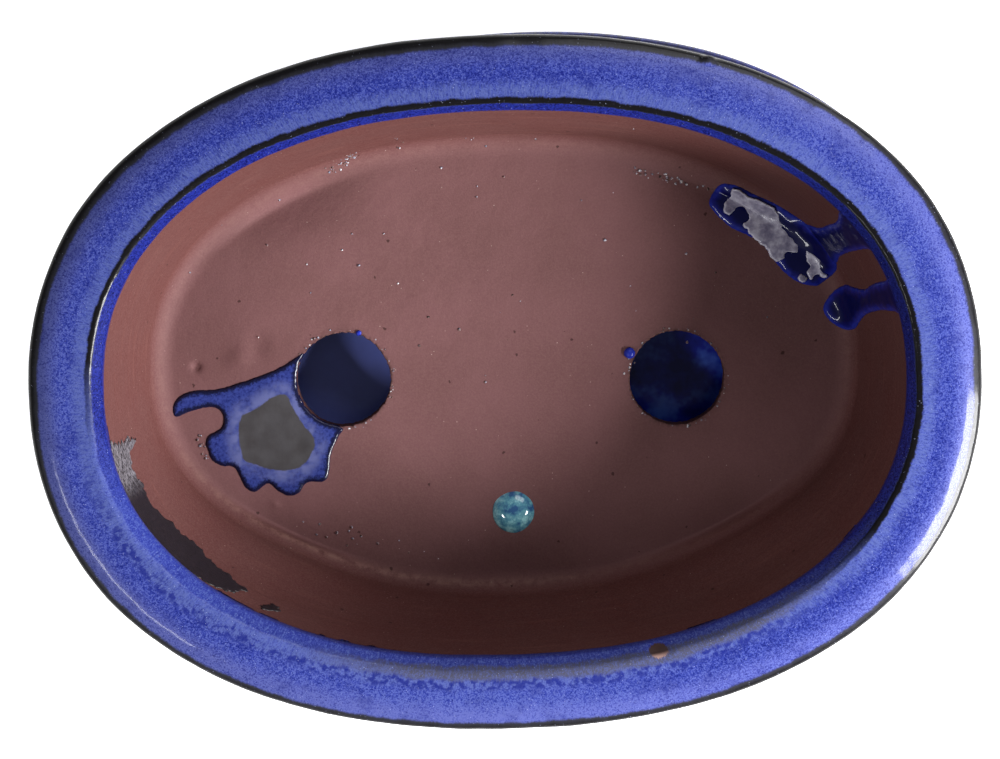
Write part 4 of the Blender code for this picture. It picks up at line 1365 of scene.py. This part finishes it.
def camera():
    """Almost straight above the pot, tipped towards its back and turned a little on its axis."""
    distance = 1.0
    view_width = 2 * HALF_LENGTH * 1.0495
    tilt = math.radians(6.4)
    roll = math.radians(1.68)
    aim = (-1.4 * MM, 1.9 * MM)
    back = Vector((0, math.sin(tilt), math.cos(tilt)))
    level = Vector((1, 0, 0))
    steep = back.cross(level)
    right = level * math.cos(roll) - steep * math.sin(roll)
    up = level * math.sin(roll) + steep * math.cos(roll)
    place = Vector((0, 0, RIM_Z)) + back * distance + right * aim[0] + up * aim[1]
    data = bpy.data.cameras.new("camera")
    data.lens = data.sensor_width * distance / view_width
    data.clip_start = 0.01
    made = bpy.data.objects.new("camera", data)
    made.matrix_world = Matrix.Translation(place) @ Matrix((right, up, back)).transposed().to_4x4()
    bpy.context.scene.collection.objects.link(made)
    bpy.context.scene.camera = made


def studio_floor():
    mesh = bpy.data.meshes.new("studio_floor")
    made = bmesh.new()
    bmesh.ops.create_grid(made, x_segments=4, y_segments=4, size=1.5)
    made.to_mesh(mesh)
    made.free()
    look = Look("studio_paper")
    fibre = look.noise(look.position(), 1 * MM, 2.0)
    look.colour = (0.9, 0.9, 0.9, 1)
    mesh.materials.append(look.finish(Roughness=0.9, Normal=look.bump(fibre, 0.02 * MM),
                                      Emission_Color=(1, 1, 1, 1), Emission_Strength=0.9))
    made = bpy.data.objects.new("studio_floor", mesh)
    made.location.z = -0.2 * MM
    bpy.context.scene.collection.objects.link(made)


def soft_box(name, azimuth, elevation, distance, size, power):
    """A square lamp that looks at the pot's lip from this direction."""
    data = bpy.data.lights.new(name, "AREA")
    data.shape = "RECTANGLE"
    data.size, data.size_y = size
    data.energy = power
    across, up = math.radians(azimuth), math.radians(elevation)
    towards = Vector((math.cos(across) * math.cos(up), math.sin(across) * math.cos(up), math.sin(up)))
    made = bpy.data.objects.new(name, data)
    made.location = Vector((0, 0, RIM_Z / 2)) + towards * distance
    made.rotation_euler = towards.to_track_quat("Z", "Y").to_euler()
    bpy.context.scene.collection.objects.link(made)


def studio_light():
    world = bpy.data.worlds.new("studio")
    world.use_nodes = True
    tree = world.node_tree
    direction = tree.nodes.new("ShaderNodeTexCoord")
    height = tree.nodes.new("ShaderNodeSeparateXYZ")
    shade = tree.nodes.new("ShaderNodeMapRange")
    shade.interpolation_type = "SMOOTHSTEP"
    for socket, value in zip(shade.inputs[1:5], (0.02, 0.32, 1.0, 0.16)):
        socket.default_value = value
    tree.links.new(direction.outputs["Generated"], height.inputs[0])
    tree.links.new(height.outputs["Z"], shade.inputs[0])
    tree.links.new(shade.outputs[0], tree.nodes["Background"].inputs["Strength"])
    tree.nodes["Background"].inputs["Color"].default_value = (1, 1, 1, 1)
    bpy.context.scene.world = world
    soft_box("key_light", -25, 29, 0.9, (0.42, 0.28), 25)
    soft_box("fill_light", 218, 43, 0.9, (0.42, 0.07), 2.8)
    soft_box("back_light", 62, 36, 0.9, (0.60, 0.30), 2.0)
    bpy.context.scene.view_settings.view_transform = "Standard"
    bpy.context.scene.view_settings.look = "None"


# ---------------- the whole


def main():
    camera()
    cobalt = cobalt_look()
    clay = clay_look()
    glaze_coat(cobalt)
    pot_clay(clay)
    feet(clay)
    saucer_coat(saucer_look())
    saucer_clay(clay)
    glaze_spill(spill_look())
    pooled = dark_glaze_look()
    stray_glaze(pooled)
    crumbs(crumb_look(), pooled)
    stray_films(painted_reflection_look(), smear_look())
    glaze_drop(teal_look())
    studio_floor()
    studio_light()


main()
